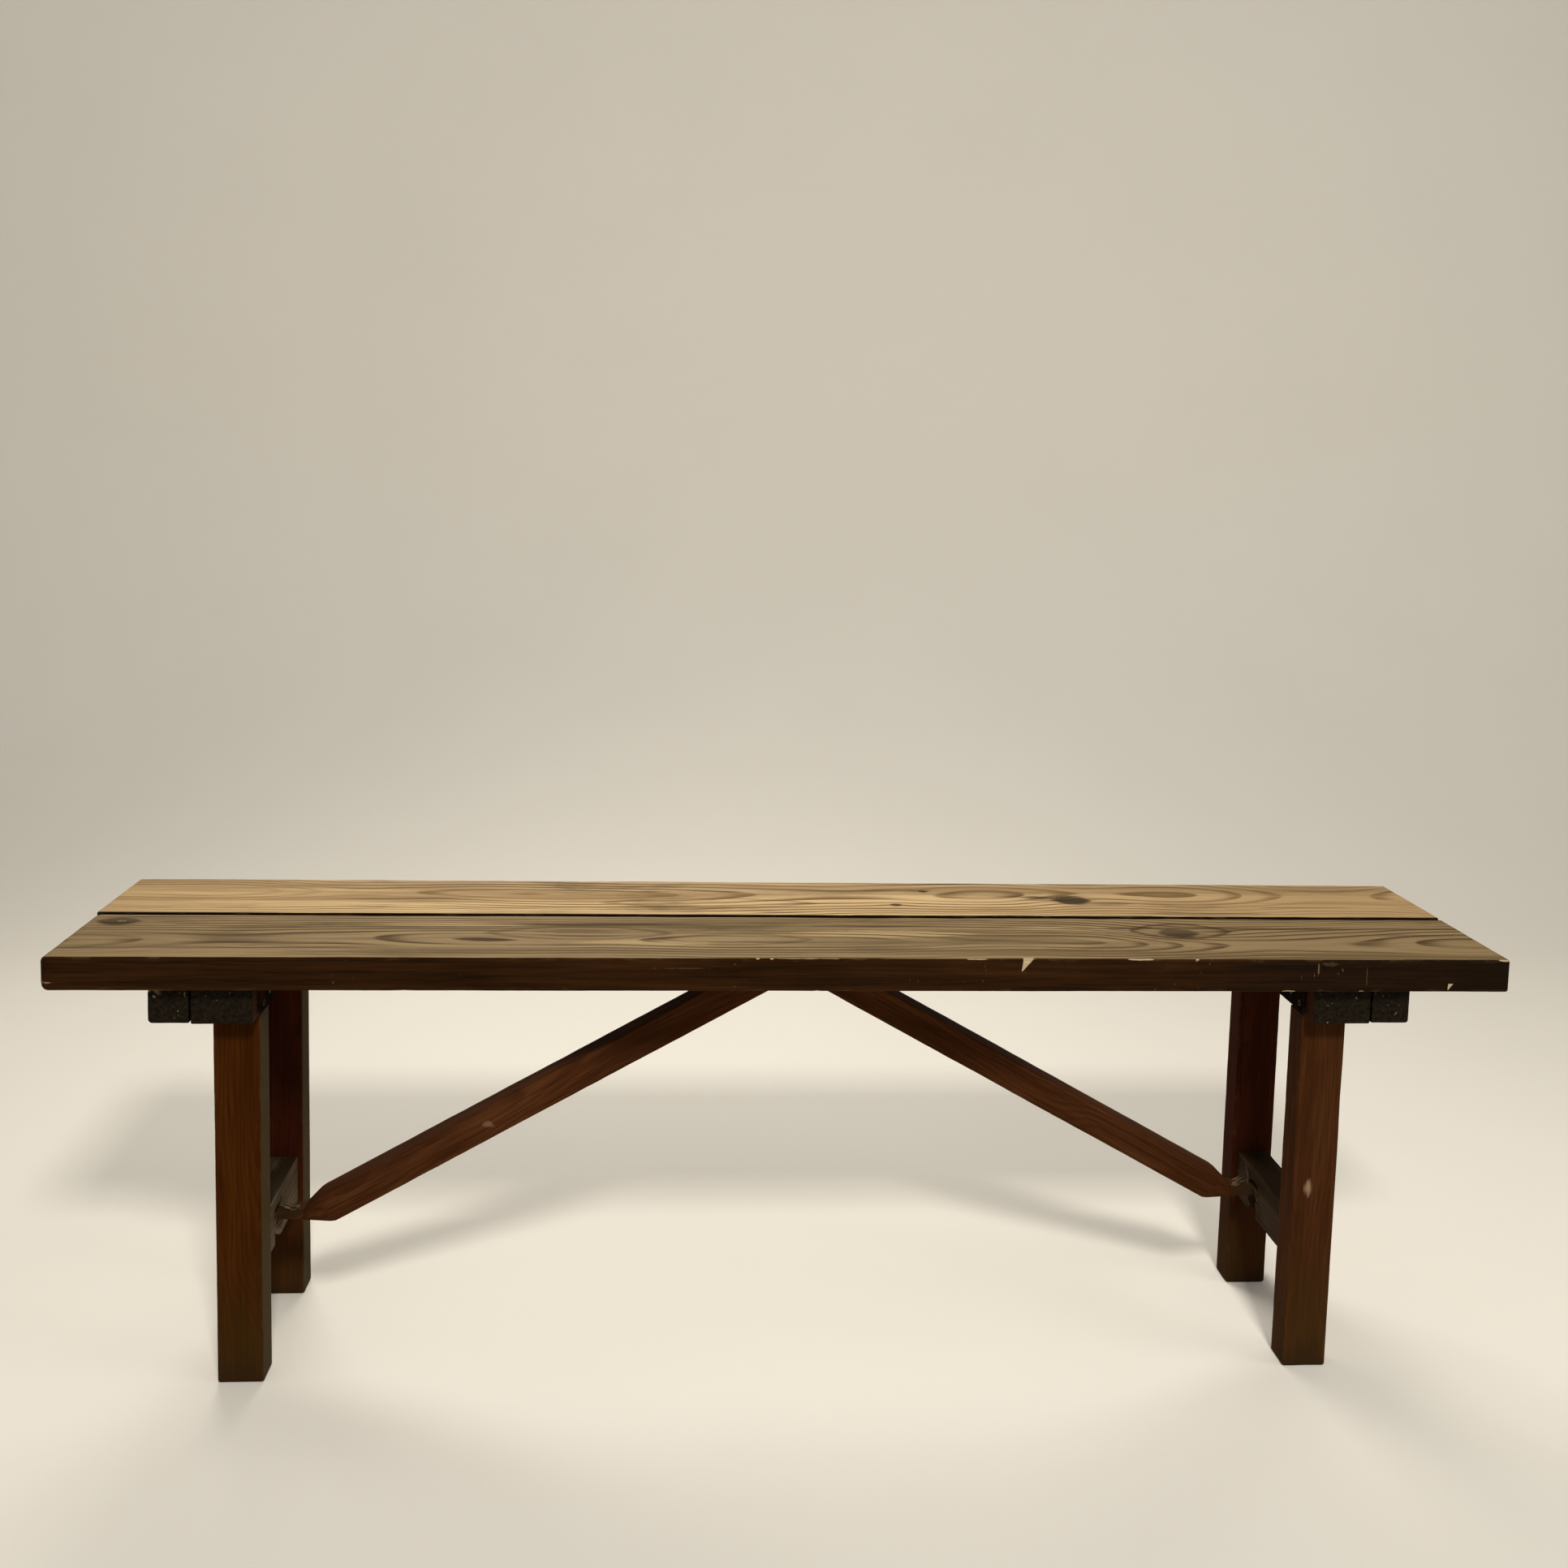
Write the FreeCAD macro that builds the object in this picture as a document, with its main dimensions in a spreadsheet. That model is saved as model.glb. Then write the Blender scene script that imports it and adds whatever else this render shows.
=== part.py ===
"""Folding bench: a two-plank seat on two hinged leg frames with swinging braces.

Frame: +X along the seat, -Y towards the front, +Z up, origin on the floor under the
middle of the seat.  Lengths are in millimetres.  Each end's pieces are described for the
right end; the left end is the same set turned half a turn about Z.
"""
import os

import FreeCAD
import Part
import Sketcher

doc = FreeCAD.newDocument("folding_bench")

SIZES = {
    # seat
    "seat_length": 1500.0,
    "seat_height": 472.0,
    "front_plank_depth": 150.0,
    "rear_plank_depth": 143.0,
    "plank_gap": 7.0,
    "plank_thick": 35.0,
    "plank_round": 4.0,
    "plank_corner": 9.0,
    # battens under the seat's ends
    "frame_inner": 547.0,
    "rail_width": 62.0,
    "rail_height": 40.0,
    "rail_length": 268.0,
    "batten_gap": 0.6,
    "cleat_width": 41.0,
    "cleat_height": 39.0,
    "wood_round": 2.0,
    # legs and stretchers
    "leg_width": 48.0,
    "leg_depth": 35.0,
    "leg_spacing": 144.0,
    "leg_tenon_width": 26.0,
    "leg_tenon_depth": 15.0,
    "leg_tenon_length": 24.0,
    "stretcher_thick": 36.0,
    "stretcher_height": 55.0,
    "stretcher_lift": 112.0,
    "stretcher_tenon_thick": 14.0,
    "stretcher_tenon_height": 34.0,
    "stretcher_tenon_length": 20.0,
    "joint_gap": 0.15,
    # braces
    "brace_thick": 33.5,
    "brace_depth": 34.0,
    "brace_aim": 16.0,
    "pivot_reach": 26.0,
    "pivot_drop": 21.0,
    "shoulder_reach": 46.0,
    "tongue_reach": 30.0,
    "tongue_width": 22.0,
    "tongue_root": 12.5,
    "tongue_tip": 6.0,
    "tongue_entry": 9.0,
    "tongue_lift": 28.0,
    "notch_gap": 1.5,
    # pivot bracket
    "plate_thick": 3.0,
    "plate_length": 130.0,
    "plate_margin": 16.0,
    "cheek_thick": 4.0,
    "cheek_margin": 12.0,
    "cheek_corner": 8.0,
    "brace_side_gap": 0.5,
    "bolt_diameter": 10.0,
    "bolt_head_width": 17.0,
    "bolt_head_height": 6.0,
    "running_gap": 0.05,
    # butt hinges
    "hinge_length": 72.0,
    "hinge_spacing": 156.0,
    "leaf_width": 30.0,
    "leaf_thick": 2.5,
    "knuckle_diameter": 10.0,
    "knuckle_gap": 0.5,
    "knuckle_split": 0.3,
    "hinge_pin_diameter": 5.0,
}

sheet = doc.addObject("Spreadsheet::Sheet", "Dims")
for row, (alias, value) in enumerate(SIZES.items(), start=1):
    sheet.set(f"A{row}", alias)
    sheet.set(f"B{row}", str(value))
    sheet.setAlias(f"B{row}", alias)
doc.recompute()


def cell(alias):
    """Expression text for one driving dimension."""
    return f"Dims.{alias}"


# Derived places, written once as expressions on the driving dimensions.
UNDERSIDE = f"({cell('seat_height')} - {cell('plank_thick')})"
SEAT_DEPTH = f"({cell('front_plank_depth')} + {cell('plank_gap')} + {cell('rear_plank_depth')})"
FRONT_EDGE = f"(0 - {SEAT_DEPTH} / 2)"
LEG_LENGTH = f"({UNDERSIDE} - {cell('rail_height')})"
LEG_NEAR = f"({cell('leg_spacing')} / 2)"
STRETCHER_INNER = f"({cell('frame_inner')} + ({cell('leg_width')} - {cell('stretcher_thick')}) / 2)"
TONGUE_BOTTOM = f"({cell('stretcher_lift')} + {cell('tongue_lift')})"
PIVOT_Z = f"({UNDERSIDE} - {cell('pivot_drop')})"
LANE_NEAR = f"({cell('cheek_thick')} / 2 + {cell('brace_side_gap')})"
LANE_FAR = f"({LANE_NEAR} + {cell('brace_depth')})"
CHEEK_NEAR = f"({LANE_FAR} + {cell('brace_side_gap')})"
CHEEK_FAR = f"({CHEEK_NEAR} + {cell('cheek_thick')})"
PIN_OFFSET = f"({cell('knuckle_diameter')} / 2 + {cell('knuckle_gap')})"
PIN_X = f"({cell('frame_inner')} - {PIN_OFFSET})"
PIN_Z = f"({UNDERSIDE} - {PIN_OFFSET})"

# The brace's centreline runs from its pivot to a point under the tongue's seat.
BRACE_RUN = f"({STRETCHER_INNER} - {cell('pivot_reach')})"
BRACE_FALL = f"({PIVOT_Z} - {TONGUE_BOTTOM} + {cell('brace_aim')})"
SLOPE = f"({BRACE_FALL} / {BRACE_RUN})"
SECANT = f"sqrt(1 + {SLOPE} * {SLOPE})"
HALF_THICK = f"({cell('brace_thick')} / 2)"

# Height of the tongue above its seat where it passes the stretcher's face.
TONGUE_LENGTH = f"({cell('tongue_entry')} + {cell('tongue_reach')})"
TONGUE_TAPER = f"(({cell('tongue_root')} - {cell('tongue_tip')}) / {TONGUE_LENGTH})"
TONGUE_AT_FACE = f"({cell('tongue_tip')} + {TONGUE_TAPER} * {cell('tongue_entry')})"

SIDES = {"right": 1, "left": -1}
made = []


def value_of(expression):
    """Present number of an expression on the sheet."""
    return float(sheet.evalExpression(expression))


def set_place(obj, side, x, y, z):
    """Stand obj at a right-end place, turned half a turn about Z for the left end."""
    obj.Placement = FreeCAD.Placement(FreeCAD.Vector(), FreeCAD.Rotation(0 if side > 0 else 180, 0, 0))
    obj.setExpression(".Placement.Base.x", f"{side} * {x}")
    obj.setExpression(".Placement.Base.y", f"{side} * {y}")
    obj.setExpression(".Placement.Base.z", z)


def origin_plane(body, role):
    """One of the body's own origin planes."""
    return next(item for item in body.Origin.OriginFeatures if item.Role == role)


def outline(body, name, role, points):
    """Closed sketch through points given as pairs of expressions, every point driven by the sheet."""
    sketch = body.newObject("Sketcher::SketchObject", name)
    sketch.AttachmentSupport = (origin_plane(body, role), [""])
    sketch.MapMode = "FlatFace"
    corners = [FreeCAD.Vector(value_of(u), value_of(v), 0) for u, v in points]
    for k, corner in enumerate(corners):
        sketch.addGeometry(Part.LineSegment(corner, corners[(k + 1) % len(corners)]), False)
    for k in range(len(corners)):
        sketch.addConstraint(Sketcher.Constraint("Coincident", k, 2, (k + 1) % len(corners), 1))
    for k, (u, v) in enumerate(points):
        for kind, text, number in (("DistanceX", u, corners[k].x), ("DistanceY", v, corners[k].y)):
            index = sketch.addConstraint(Sketcher.Constraint(kind, -1, 1, k, 1, number))
            sketch.setExpression(f"Constraints[{index}]", text)
    return sketch


def rectangle(width, height, left="0", low="0"):
    """Corner expressions of a rectangle."""
    right = f"({left} + {width})"
    high = f"({low} + {height})"
    return [(left, low), (right, low), (right, high), (left, high)]


def pad(body, sketch, length, away=False):
    """Pad a sketch by an expression's length; away pads against the sketch's normal."""
    feature = body.newObject("PartDesign::Pad", sketch.Name + "_pad")
    feature.Profile = sketch
    feature.Reversed = away
    feature.setExpression("Length", length)
    return feature


def pocket(body, sketch, length, away=False):
    """Pocket a sketch by an expression's depth, and make sure that it cuts."""
    doc.recompute()
    before = body.Shape.Volume
    feature = body.newObject("PartDesign::Pocket", sketch.Name + "_pocket")
    feature.Profile = sketch
    feature.Reversed = away
    feature.setExpression("Length", length)
    doc.recompute()
    if body.Shape.Volume >= before:
        raise RuntimeError(f"{feature.Name} cuts nothing")
    return feature


def lift_sketch(sketch, height):
    """Move a sketch along its plane's normal."""
    sketch.setExpression(".AttachmentOffset.Base.z", height)


def edge_names(shape, axis, keep=lambda centre: True):
    """Names of the straight edges along an axis whose centre passes the test."""
    names = []
    for k, edge in enumerate(shape.Edges, start=1):
        if not isinstance(edge.Curve, Part.Line):
            continue
        if abs(edge.tangentAt(edge.FirstParameter).dot(axis)) > 0.999 and keep(edge.CenterOfMass):
            names.append(f"Edge{k}")
    return names


def local_shape(body):
    """The body's shape before its own placement."""
    shape = body.Shape.copy()
    shape.Placement = body.Placement.inverse().multiply(shape.Placement)
    return shape


def soften(body, axis, radius, keep=lambda centre: True):
    """Round the straight edges along an axis."""
    doc.recompute()
    base = body.Tip
    feature = body.newObject("PartDesign::Fillet", f"{body.Name}_round{len(body.Group)}")
    feature.Base = (base, edge_names(local_shape(body), axis, keep))
    feature.setExpression("Radius", radius)
    return feature


X_AXIS = FreeCAD.Vector(1, 0, 0)
Y_AXIS = FreeCAD.Vector(0, 1, 0)
Z_AXIS = FreeCAD.Vector(0, 0, 1)


def new_body(label):
    """A named body that is exported as one piece."""
    body = doc.addObject("PartDesign::Body", label)
    body.Label = label
    made.append(body)
    return body


def plank(label, depth, y):
    """Seat plank with rounded upper arrises and softened ends."""
    body = new_body(label)
    pad(body, outline(body, label + "_plan", "XY_Plane", rectangle(cell("seat_length"), depth)),
        cell("plank_thick"))
    soften(body, Z_AXIS, cell("plank_corner"))
    doc.recompute()
    top = value_of(cell("plank_thick"))
    soften(body, X_AXIS, cell("plank_round"), lambda centre: centre.z > top / 2)
    set_place(body, 1, f"(0 - {cell('seat_length')} / 2)", y, UNDERSIDE)


def fixed_cleat(label, side):
    """Batten screwed across both planks outside the folding frame."""
    body = new_body(label)
    plan = rectangle(cell("cleat_width"), cell("rail_length"))
    pad(body, outline(body, label + "_plan", "XY_Plane", plan), cell("cleat_height"))
    soften(body, Y_AXIS, cell("wood_round"), lambda centre: centre.z < 1)
    x = f"({cell('frame_inner')} + {cell('rail_width')} + {cell('batten_gap')})"
    set_place(body, side, x, f"(0 - {cell('rail_length')} / 2)", f"({UNDERSIDE} - {cell('cleat_height')})")


def top_rail(label, side):
    """Head of a leg frame, mortised for the two legs, with its lower arrises rounded."""
    body = new_body(label)
    plan = rectangle(cell("rail_width"), cell("rail_length"))
    pad(body, outline(body, label + "_plan", "XY_Plane", plan), cell("rail_height"))
    soften(body, Y_AXIS, cell("wood_round"), lambda centre: centre.z < 1)
    width = f"({cell('leg_tenon_width')} + 2 * {cell('joint_gap')})"
    depth = f"({cell('leg_tenon_depth')} + 2 * {cell('joint_gap')})"
    left = f"(({cell('leg_width')} - {width}) / 2)"
    for name, turn in (("front", -1), ("rear", 1)):
        middle = f"({cell('rail_length')} / 2 + {turn} * ({LEG_NEAR} + {cell('leg_depth')} / 2))"
        low = f"({middle} - {depth} / 2)"
        sketch = outline(body, f"{label}_{name}_mortise", "XY_Plane", rectangle(width, depth, left, low))
        pocket(body, sketch, f"({cell('leg_tenon_length')} + {cell('joint_gap')})", True)
    set_place(body, side, cell("frame_inner"), f"(0 - {cell('rail_length')} / 2)", LEG_LENGTH)


def leg(label, side, turn):
    """Leg tenoned into the rail and mortised for the stretcher.

    turn is 1 for the leg on the end's own +Y side and -1 for the other one.
    """
    body = new_body(label)
    plan = rectangle(cell("leg_width"), cell("leg_depth"))
    pad(body, outline(body, label + "_plan", "XY_Plane", plan), LEG_LENGTH)
    soften(body, Z_AXIS, cell("wood_round"))
    tenon_left = f"(({cell('leg_width')} - {cell('leg_tenon_width')}) / 2)"
    tenon_low = f"(({cell('leg_depth')} - {cell('leg_tenon_depth')}) / 2)"
    tenon = outline(body, label + "_tenon", "XY_Plane",
                    rectangle(cell("leg_tenon_width"), cell("leg_tenon_depth"), tenon_left, tenon_low))
    lift_sketch(tenon, LEG_LENGTH)
    pad(body, tenon, cell("leg_tenon_length"))
    thick = f"({cell('stretcher_tenon_thick')} + 2 * {cell('joint_gap')})"
    height = f"({cell('stretcher_tenon_height')} + 2 * {cell('joint_gap')})"
    left = f"(({cell('leg_width')} - {thick}) / 2)"
    low = f"({cell('stretcher_lift')} + ({cell('stretcher_height')} - {height}) / 2)"
    mortise = outline(body, label + "_mortise", "XZ_Plane", rectangle(thick, height, left, low))
    if turn < 0:
        lift_sketch(mortise, f"(0 - {cell('leg_depth')})")
    pocket(body, mortise, f"({cell('stretcher_tenon_length')} + {cell('joint_gap')})", turn < 0)
    y = LEG_NEAR if turn > 0 else f"(0 - {LEG_NEAR} - {cell('leg_depth')})"
    set_place(body, side, cell("frame_inner"), y, "0")


def stretcher(label, side):
    """Rail between the legs, tenoned at both ends, with a notch open below for the brace's tongue."""
    body = new_body(label)
    whole = rectangle(cell("stretcher_thick"), cell("stretcher_height"))
    pad(body, outline(body, label + "_section", "XZ_Plane", whole), cell("leg_spacing"), True)
    soften(body, Y_AXIS, cell("wood_round"))
    left = f"(({cell('stretcher_thick')} - {cell('stretcher_tenon_thick')}) / 2)"
    low = f"(({cell('stretcher_height')} - {cell('stretcher_tenon_height')}) / 2)"
    section = rectangle(cell("stretcher_tenon_thick"), cell("stretcher_tenon_height"), left, low)
    pad(body, outline(body, label + "_front_tenon", "XZ_Plane", section), cell("stretcher_tenon_length"))
    rear = outline(body, label + "_rear_tenon", "XZ_Plane", section)
    lift_sketch(rear, f"(0 - {cell('leg_spacing')})")
    pad(body, rear, cell("stretcher_tenon_length"), True)
    depth = f"({cell('tongue_entry')} + {cell('notch_gap')})"
    height = f"({cell('tongue_lift')} + {TONGUE_AT_FACE} + {cell('notch_gap')})"
    notch = outline(body, label + "_notch", "XZ_Plane", rectangle(depth, height))
    lane_middle = f"({LANE_NEAR} + {cell('brace_depth')} / 2 + {cell('leg_spacing')} / 2)"
    width = f"({cell('tongue_width')} + 2 * {cell('notch_gap')})"
    lift_sketch(notch, f"({width} / 2 - {lane_middle})")
    pocket(body, notch, width)
    set_place(body, side, STRETCHER_INNER, f"(0 - {LEG_NEAR})", cell("stretcher_lift"))


def brace(label, side):
    """Diagonal brace: rounded bored head, straight shank, bevelled shoulder and tapered tongue."""
    body = new_body(label)
    shift = cell("brace_thick")
    pivot = (shift, f"({PIVOT_Z} - {TONGUE_BOTTOM})")
    along = (f"(1 / {SECANT})", f"(0 - {SLOPE} / {SECANT})")
    across = (f"({SLOPE} / {SECANT})", f"(1 / {SECANT})")

    def head(sign):
        return tuple(f"({p} - {HALF_THICK} * {a} + {sign} * {HALF_THICK} * {c})"
                     for p, a, c in zip(pivot, along, across))

    shoulder_x = f"({shift} + {BRACE_RUN} - {cell('shoulder_reach')})"
    shoulder_z = f"({pivot[1]} + {HALF_THICK} * {SECANT} - {SLOPE} * ({shoulder_x} - {shift}))"
    root_x = f"({shift} + {BRACE_RUN} - {cell('tongue_reach')})"
    heel_x = f"({shift} + ({pivot[1]} - {HALF_THICK} * {SECANT}) / {SLOPE})"
    profile = [head(1), head(-1), (heel_x, "0"), (root_x, "0"), (root_x, cell("tongue_root")),
               (shoulder_x, shoulder_z)]
    pad(body, outline(body, label + "_profile", "XZ_Plane", profile), cell("brace_depth"), True)
    doc.recompute()
    end = value_of(head(1)[0]) + value_of(cell("brace_thick"))
    soften(body, Y_AXIS, f"({HALF_THICK} - {cell('running_gap')})", lambda centre: centre.x < end)
    doc.recompute()
    axis_dir = FreeCAD.Vector(value_of(along[0]), 0, value_of(along[1]))
    soften(body, axis_dir, cell("wood_round"))
    lap_x = f"({root_x} - {cell('tongue_root')} / 2)"
    tip_x = f"({shift} + {BRACE_RUN} + {cell('tongue_entry')})"
    tongue_profile = [(lap_x, "0"), (tip_x, "0"), (tip_x, cell("tongue_tip")),
                      (root_x, cell("tongue_root")), (lap_x, cell("tongue_root"))]
    tongue = outline(body, label + "_tongue", "XZ_Plane", tongue_profile)
    lift_sketch(tongue, f"(0 - ({cell('brace_depth')} - {cell('tongue_width')}) / 2)")
    pad(body, tongue, cell("tongue_width"), True)
    made.remove(body)
    body.Label = label + "_timber"
    set_place(body, side, f"({cell('pivot_reach')} - {shift})", LANE_NEAR, TONGUE_BOTTOM)
    bore = doc.addObject("Part::Cylinder", label + "_bore")
    bore.setExpression("Radius", f"{cell('bolt_diameter')} / 2 + {cell('running_gap')}")
    bore.setExpression("Height", f"{cell('brace_depth')} + 2 * {cell('brace_thick')}")
    place_y_cylinder(bore, side, cell("pivot_reach"), f"({LANE_NEAR} - {cell('brace_thick')})", PIVOT_Z)
    cut(label, body, [bore])


def place_y_cylinder(obj, side, x, y, z):
    """Lay a primitive's axis along the end's own +Y."""
    obj.Placement = FreeCAD.Placement(FreeCAD.Vector(), FreeCAD.Rotation(X_AXIS, -90 * side))
    obj.setExpression(".Placement.Base.x", f"{side} * {x}")
    obj.setExpression(".Placement.Base.y", f"{side} * {y}")
    obj.setExpression(".Placement.Base.z", z)


def cut(label, base, tools):
    """Piece left after the tools are cut from base."""
    doc.recompute()
    for k, tool in enumerate(tools):
        result = doc.addObject("Part::Cut", f"{label}_cut{k}")
        result.Base = base
        result.Tool = tool
        base = result
    base.Label = label
    made.append(base)
    return base


def bolt_bore(name, side):
    """Clearance hole through the cheeks for one end's pivot bolt."""
    bore = doc.addObject("Part::Cylinder", name)
    bore.setExpression("Radius", f"{cell('bolt_diameter')} / 2 + {cell('running_gap')}")
    bore.setExpression("Height", f"2 * {CHEEK_FAR}")
    place_y_cylinder(bore, side, cell("pivot_reach"), f"(0 - {cell('brace_depth')} / 2)", PIVOT_Z)
    return bore


def cheek(label, side, y, bolt_sides):
    """Steel cheek with rounded lower corners, bored for the bolts that it carries."""
    body = new_body(label)
    length = f"(2 * ({cell('pivot_reach')} + {cell('cheek_margin')}))"
    drop = f"({cell('pivot_drop')} - {cell('plate_thick')} + {cell('cheek_margin')})"
    shape = outline(body, label + "_outline", "XZ_Plane", rectangle(length, drop))
    pad(body, shape, cell("cheek_thick"), True)
    soften(body, Y_AXIS, cell("cheek_corner"), lambda centre: centre.z < 1)
    set_place(body, side, f"(0 - {length} / 2)", y, f"({UNDERSIDE} - {cell('plate_thick')} - {drop})")
    made.remove(body)
    body.Label = label + "_blank"
    cut(label, body, [bolt_bore(f"{label}_hole{k}", turn) for k, turn in enumerate(bolt_sides)])


def bolt(label, side):
    """Pivot bolt: hexagon head outside its cheek, plain shank ending flush with the middle cheek."""
    shank = doc.addObject("Part::Cylinder", label + "_shank")
    shank.setExpression("Radius", f"{cell('bolt_diameter')} / 2")
    shank.setExpression("Height", f"{CHEEK_FAR} + {cell('cheek_thick')} / 2")
    place_y_cylinder(shank, side, cell("pivot_reach"), f"(0 - {cell('cheek_thick')} / 2)", PIVOT_Z)
    hexagon = doc.addObject("Part::Prism", label + "_head")
    hexagon.Polygon = 6
    hexagon.setExpression("Circumradius", f"{cell('bolt_head_width')} / sqrt(3)")
    hexagon.setExpression("Height", cell("bolt_head_height"))
    place_y_cylinder(hexagon, side, cell("pivot_reach"), CHEEK_FAR, PIVOT_Z)
    whole = doc.addObject("Part::Fuse", label)
    whole.Base = shank
    whole.Tool = hexagon
    whole.Label = label
    made.append(whole)


def bracket_plate(label):
    """Flat plate under the joint of the planks that carries the three cheeks."""
    plate = doc.addObject("Part::Box", label)
    width = f"(2 * ({CHEEK_FAR} + {cell('plate_margin')}))"
    plate.setExpression("Length", cell("plate_length"))
    plate.setExpression("Width", width)
    plate.setExpression("Height", cell("plate_thick"))
    set_place(plate, 1, f"(0 - {cell('plate_length')} / 2)", f"(0 - {width} / 2)",
              f"({UNDERSIDE} - {cell('plate_thick')})")
    plate.Label = label
    made.append(plate)


def knuckle_spans(middle):
    """Start and length, along the hinge, of the middle knuckle or of the two outer ones."""
    third = f"({cell('hinge_length')} / 3)"
    if middle:
        return [(f"({third} + {cell('knuckle_split')})", f"({third} - 2 * {cell('knuckle_split')})")]
    return [("0", third), (f"(2 * {third})", third)]


def hinge_leaf(label, side, y, on_seat):
    """Butt hinge leaf: flat plate, rolled knuckles and the pin's bore.

    The leaf is drawn with its plate along its own +X, and the leaf on the leg frame is the same
    leaf with its plate turned down.
    """
    body = new_body(label)
    barrel = f"({cell('knuckle_diameter')} / 2)"
    inset = f"({barrel} + {cell('knuckle_split')})"
    plate_low = f"({PIN_OFFSET} - {cell('leaf_thick')})"
    flat = f"({cell('leaf_width')} - {inset})"
    flat_part = rectangle(flat, cell("leaf_thick"), inset, plate_low)
    plate = outline(body, label + "_plate", "XZ_Plane", flat_part)
    pad(body, plate, cell("hinge_length"), True)
    for k, (start, length) in enumerate(knuckle_spans(not on_seat)):
        root = outline(body, f"{label}_root{k}", "XZ_Plane",
                       rectangle(inset, cell("leaf_thick"), "0", plate_low))
        lift_sketch(root, f"(0 - {start})")
        pad(body, root, length, True)
        ring = body.newObject("Sketcher::SketchObject", f"{label}_barrel{k}")
        ring.AttachmentSupport = (origin_plane(body, "XZ_Plane"), [""])
        ring.MapMode = "FlatFace"
        add_circle(ring, barrel)
        lift_sketch(ring, f"(0 - {start})")
        pad(body, ring, length, True)
    eye = body.newObject("Sketcher::SketchObject", label + "_eye")
    eye.AttachmentSupport = (origin_plane(body, "XZ_Plane"), [""])
    eye.MapMode = "FlatFace"
    add_circle(eye, f"({cell('hinge_pin_diameter')} / 2 + {cell('running_gap')})")
    pocket(body, eye, cell("hinge_length"))
    set_place(body, side, PIN_X, y, PIN_Z)
    turn_leaf(body, side, on_seat, y)


def add_circle(sketch, radius):
    """Circle about the sketch's origin with its radius driven by an expression."""
    sketch.addGeometry(Part.Circle(FreeCAD.Vector(), Z_AXIS, value_of(radius)), False)
    sketch.addConstraint(Sketcher.Constraint("Coincident", 0, 3, -1, 1))
    index = sketch.addConstraint(Sketcher.Constraint("Radius", 0, value_of(radius)))
    sketch.setExpression(f"Constraints[{index}]", radius)


def turn_leaf(body, side, on_seat, y):
    """Turn the seat leaf's plate to the middle, on the planks, and the frame leaf's down, on the rail."""
    end = FreeCAD.Rotation(0 if side > 0 else 180, 0, 0)
    if on_seat:
        turned = FreeCAD.Rotation(Z_AXIS, 180)
    else:
        turned = FreeCAD.Rotation(Y_AXIS, 90)
    body.Placement = FreeCAD.Placement(FreeCAD.Vector(), end.multiply(turned))
    start = f"({y} + {cell('hinge_length')})" if on_seat else y
    body.setExpression(".Placement.Base.y", f"{side} * {start}")


def hinge_pin(label, side, y):
    """Plain hinge pin as long as the leaves."""
    pin = doc.addObject("Part::Cylinder", label)
    pin.setExpression("Radius", f"{cell('hinge_pin_diameter')} / 2")
    pin.setExpression("Height", cell("hinge_length"))
    place_y_cylinder(pin, side, PIN_X, y, PIN_Z)
    pin.Label = label
    made.append(pin)


def build():
    """Make every piece of the bench."""
    plank("front_plank", cell("front_plank_depth"), FRONT_EDGE)
    plank("rear_plank", cell("rear_plank_depth"),
          f"({FRONT_EDGE} + {cell('front_plank_depth')} + {cell('plank_gap')})")
    bracket_plate("bracket_plate")
    cheek("bracket_cheek_middle", 1, f"(0 - {cell('cheek_thick')} / 2)", (1, -1))
    for name, side in SIDES.items():
        fixed_cleat(f"{name}_cleat", side)
        top_rail(f"{name}_top_rail", side)
        stretcher(f"{name}_stretcher", side)
        for end, turn in (("front", -side), ("rear", side)):
            leg(f"{name}_{end}_leg", side, turn)
            middle = f"({turn} * {cell('hinge_spacing')} / 2)"
            start = f"({middle} - {cell('hinge_length')} / 2)"
            hinge_leaf(f"{name}_{end}_hinge_seat_leaf", side, start, True)
            hinge_leaf(f"{name}_{end}_hinge_frame_leaf", side, start, False)
            hinge_pin(f"{name}_{end}_hinge_pin", side, start)
        cheek(f"bracket_cheek_{name}", side, CHEEK_NEAR, (side,))
        bolt(f"{name}_brace_bolt", side)
        brace(f"{name}_brace", side)
    doc.recompute()


def check_and_export():
    """Stop on any failed object, then write one file per piece."""
    for obj in doc.Objects:
        if "Invalid" in obj.State or "Error" in obj.State:
            raise RuntimeError(f"{obj.Name} failed: {obj.State}")
    for piece in made:
        if piece.Shape.isNull() or not piece.Shape.isValid() or len(piece.Shape.Solids) != 1:
            raise RuntimeError(f"{piece.Label} is not one valid solid")
    os.makedirs("parts", exist_ok=True)
    for piece in made:
        piece.Shape.exportStep(os.path.join("parts", piece.Label + ".step"))


build()
check_and_export()
print(len(made), "pieces written")
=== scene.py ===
import math

import bmesh
import bpy
import numpy as np
from mathutils import Matrix, Vector


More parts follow.
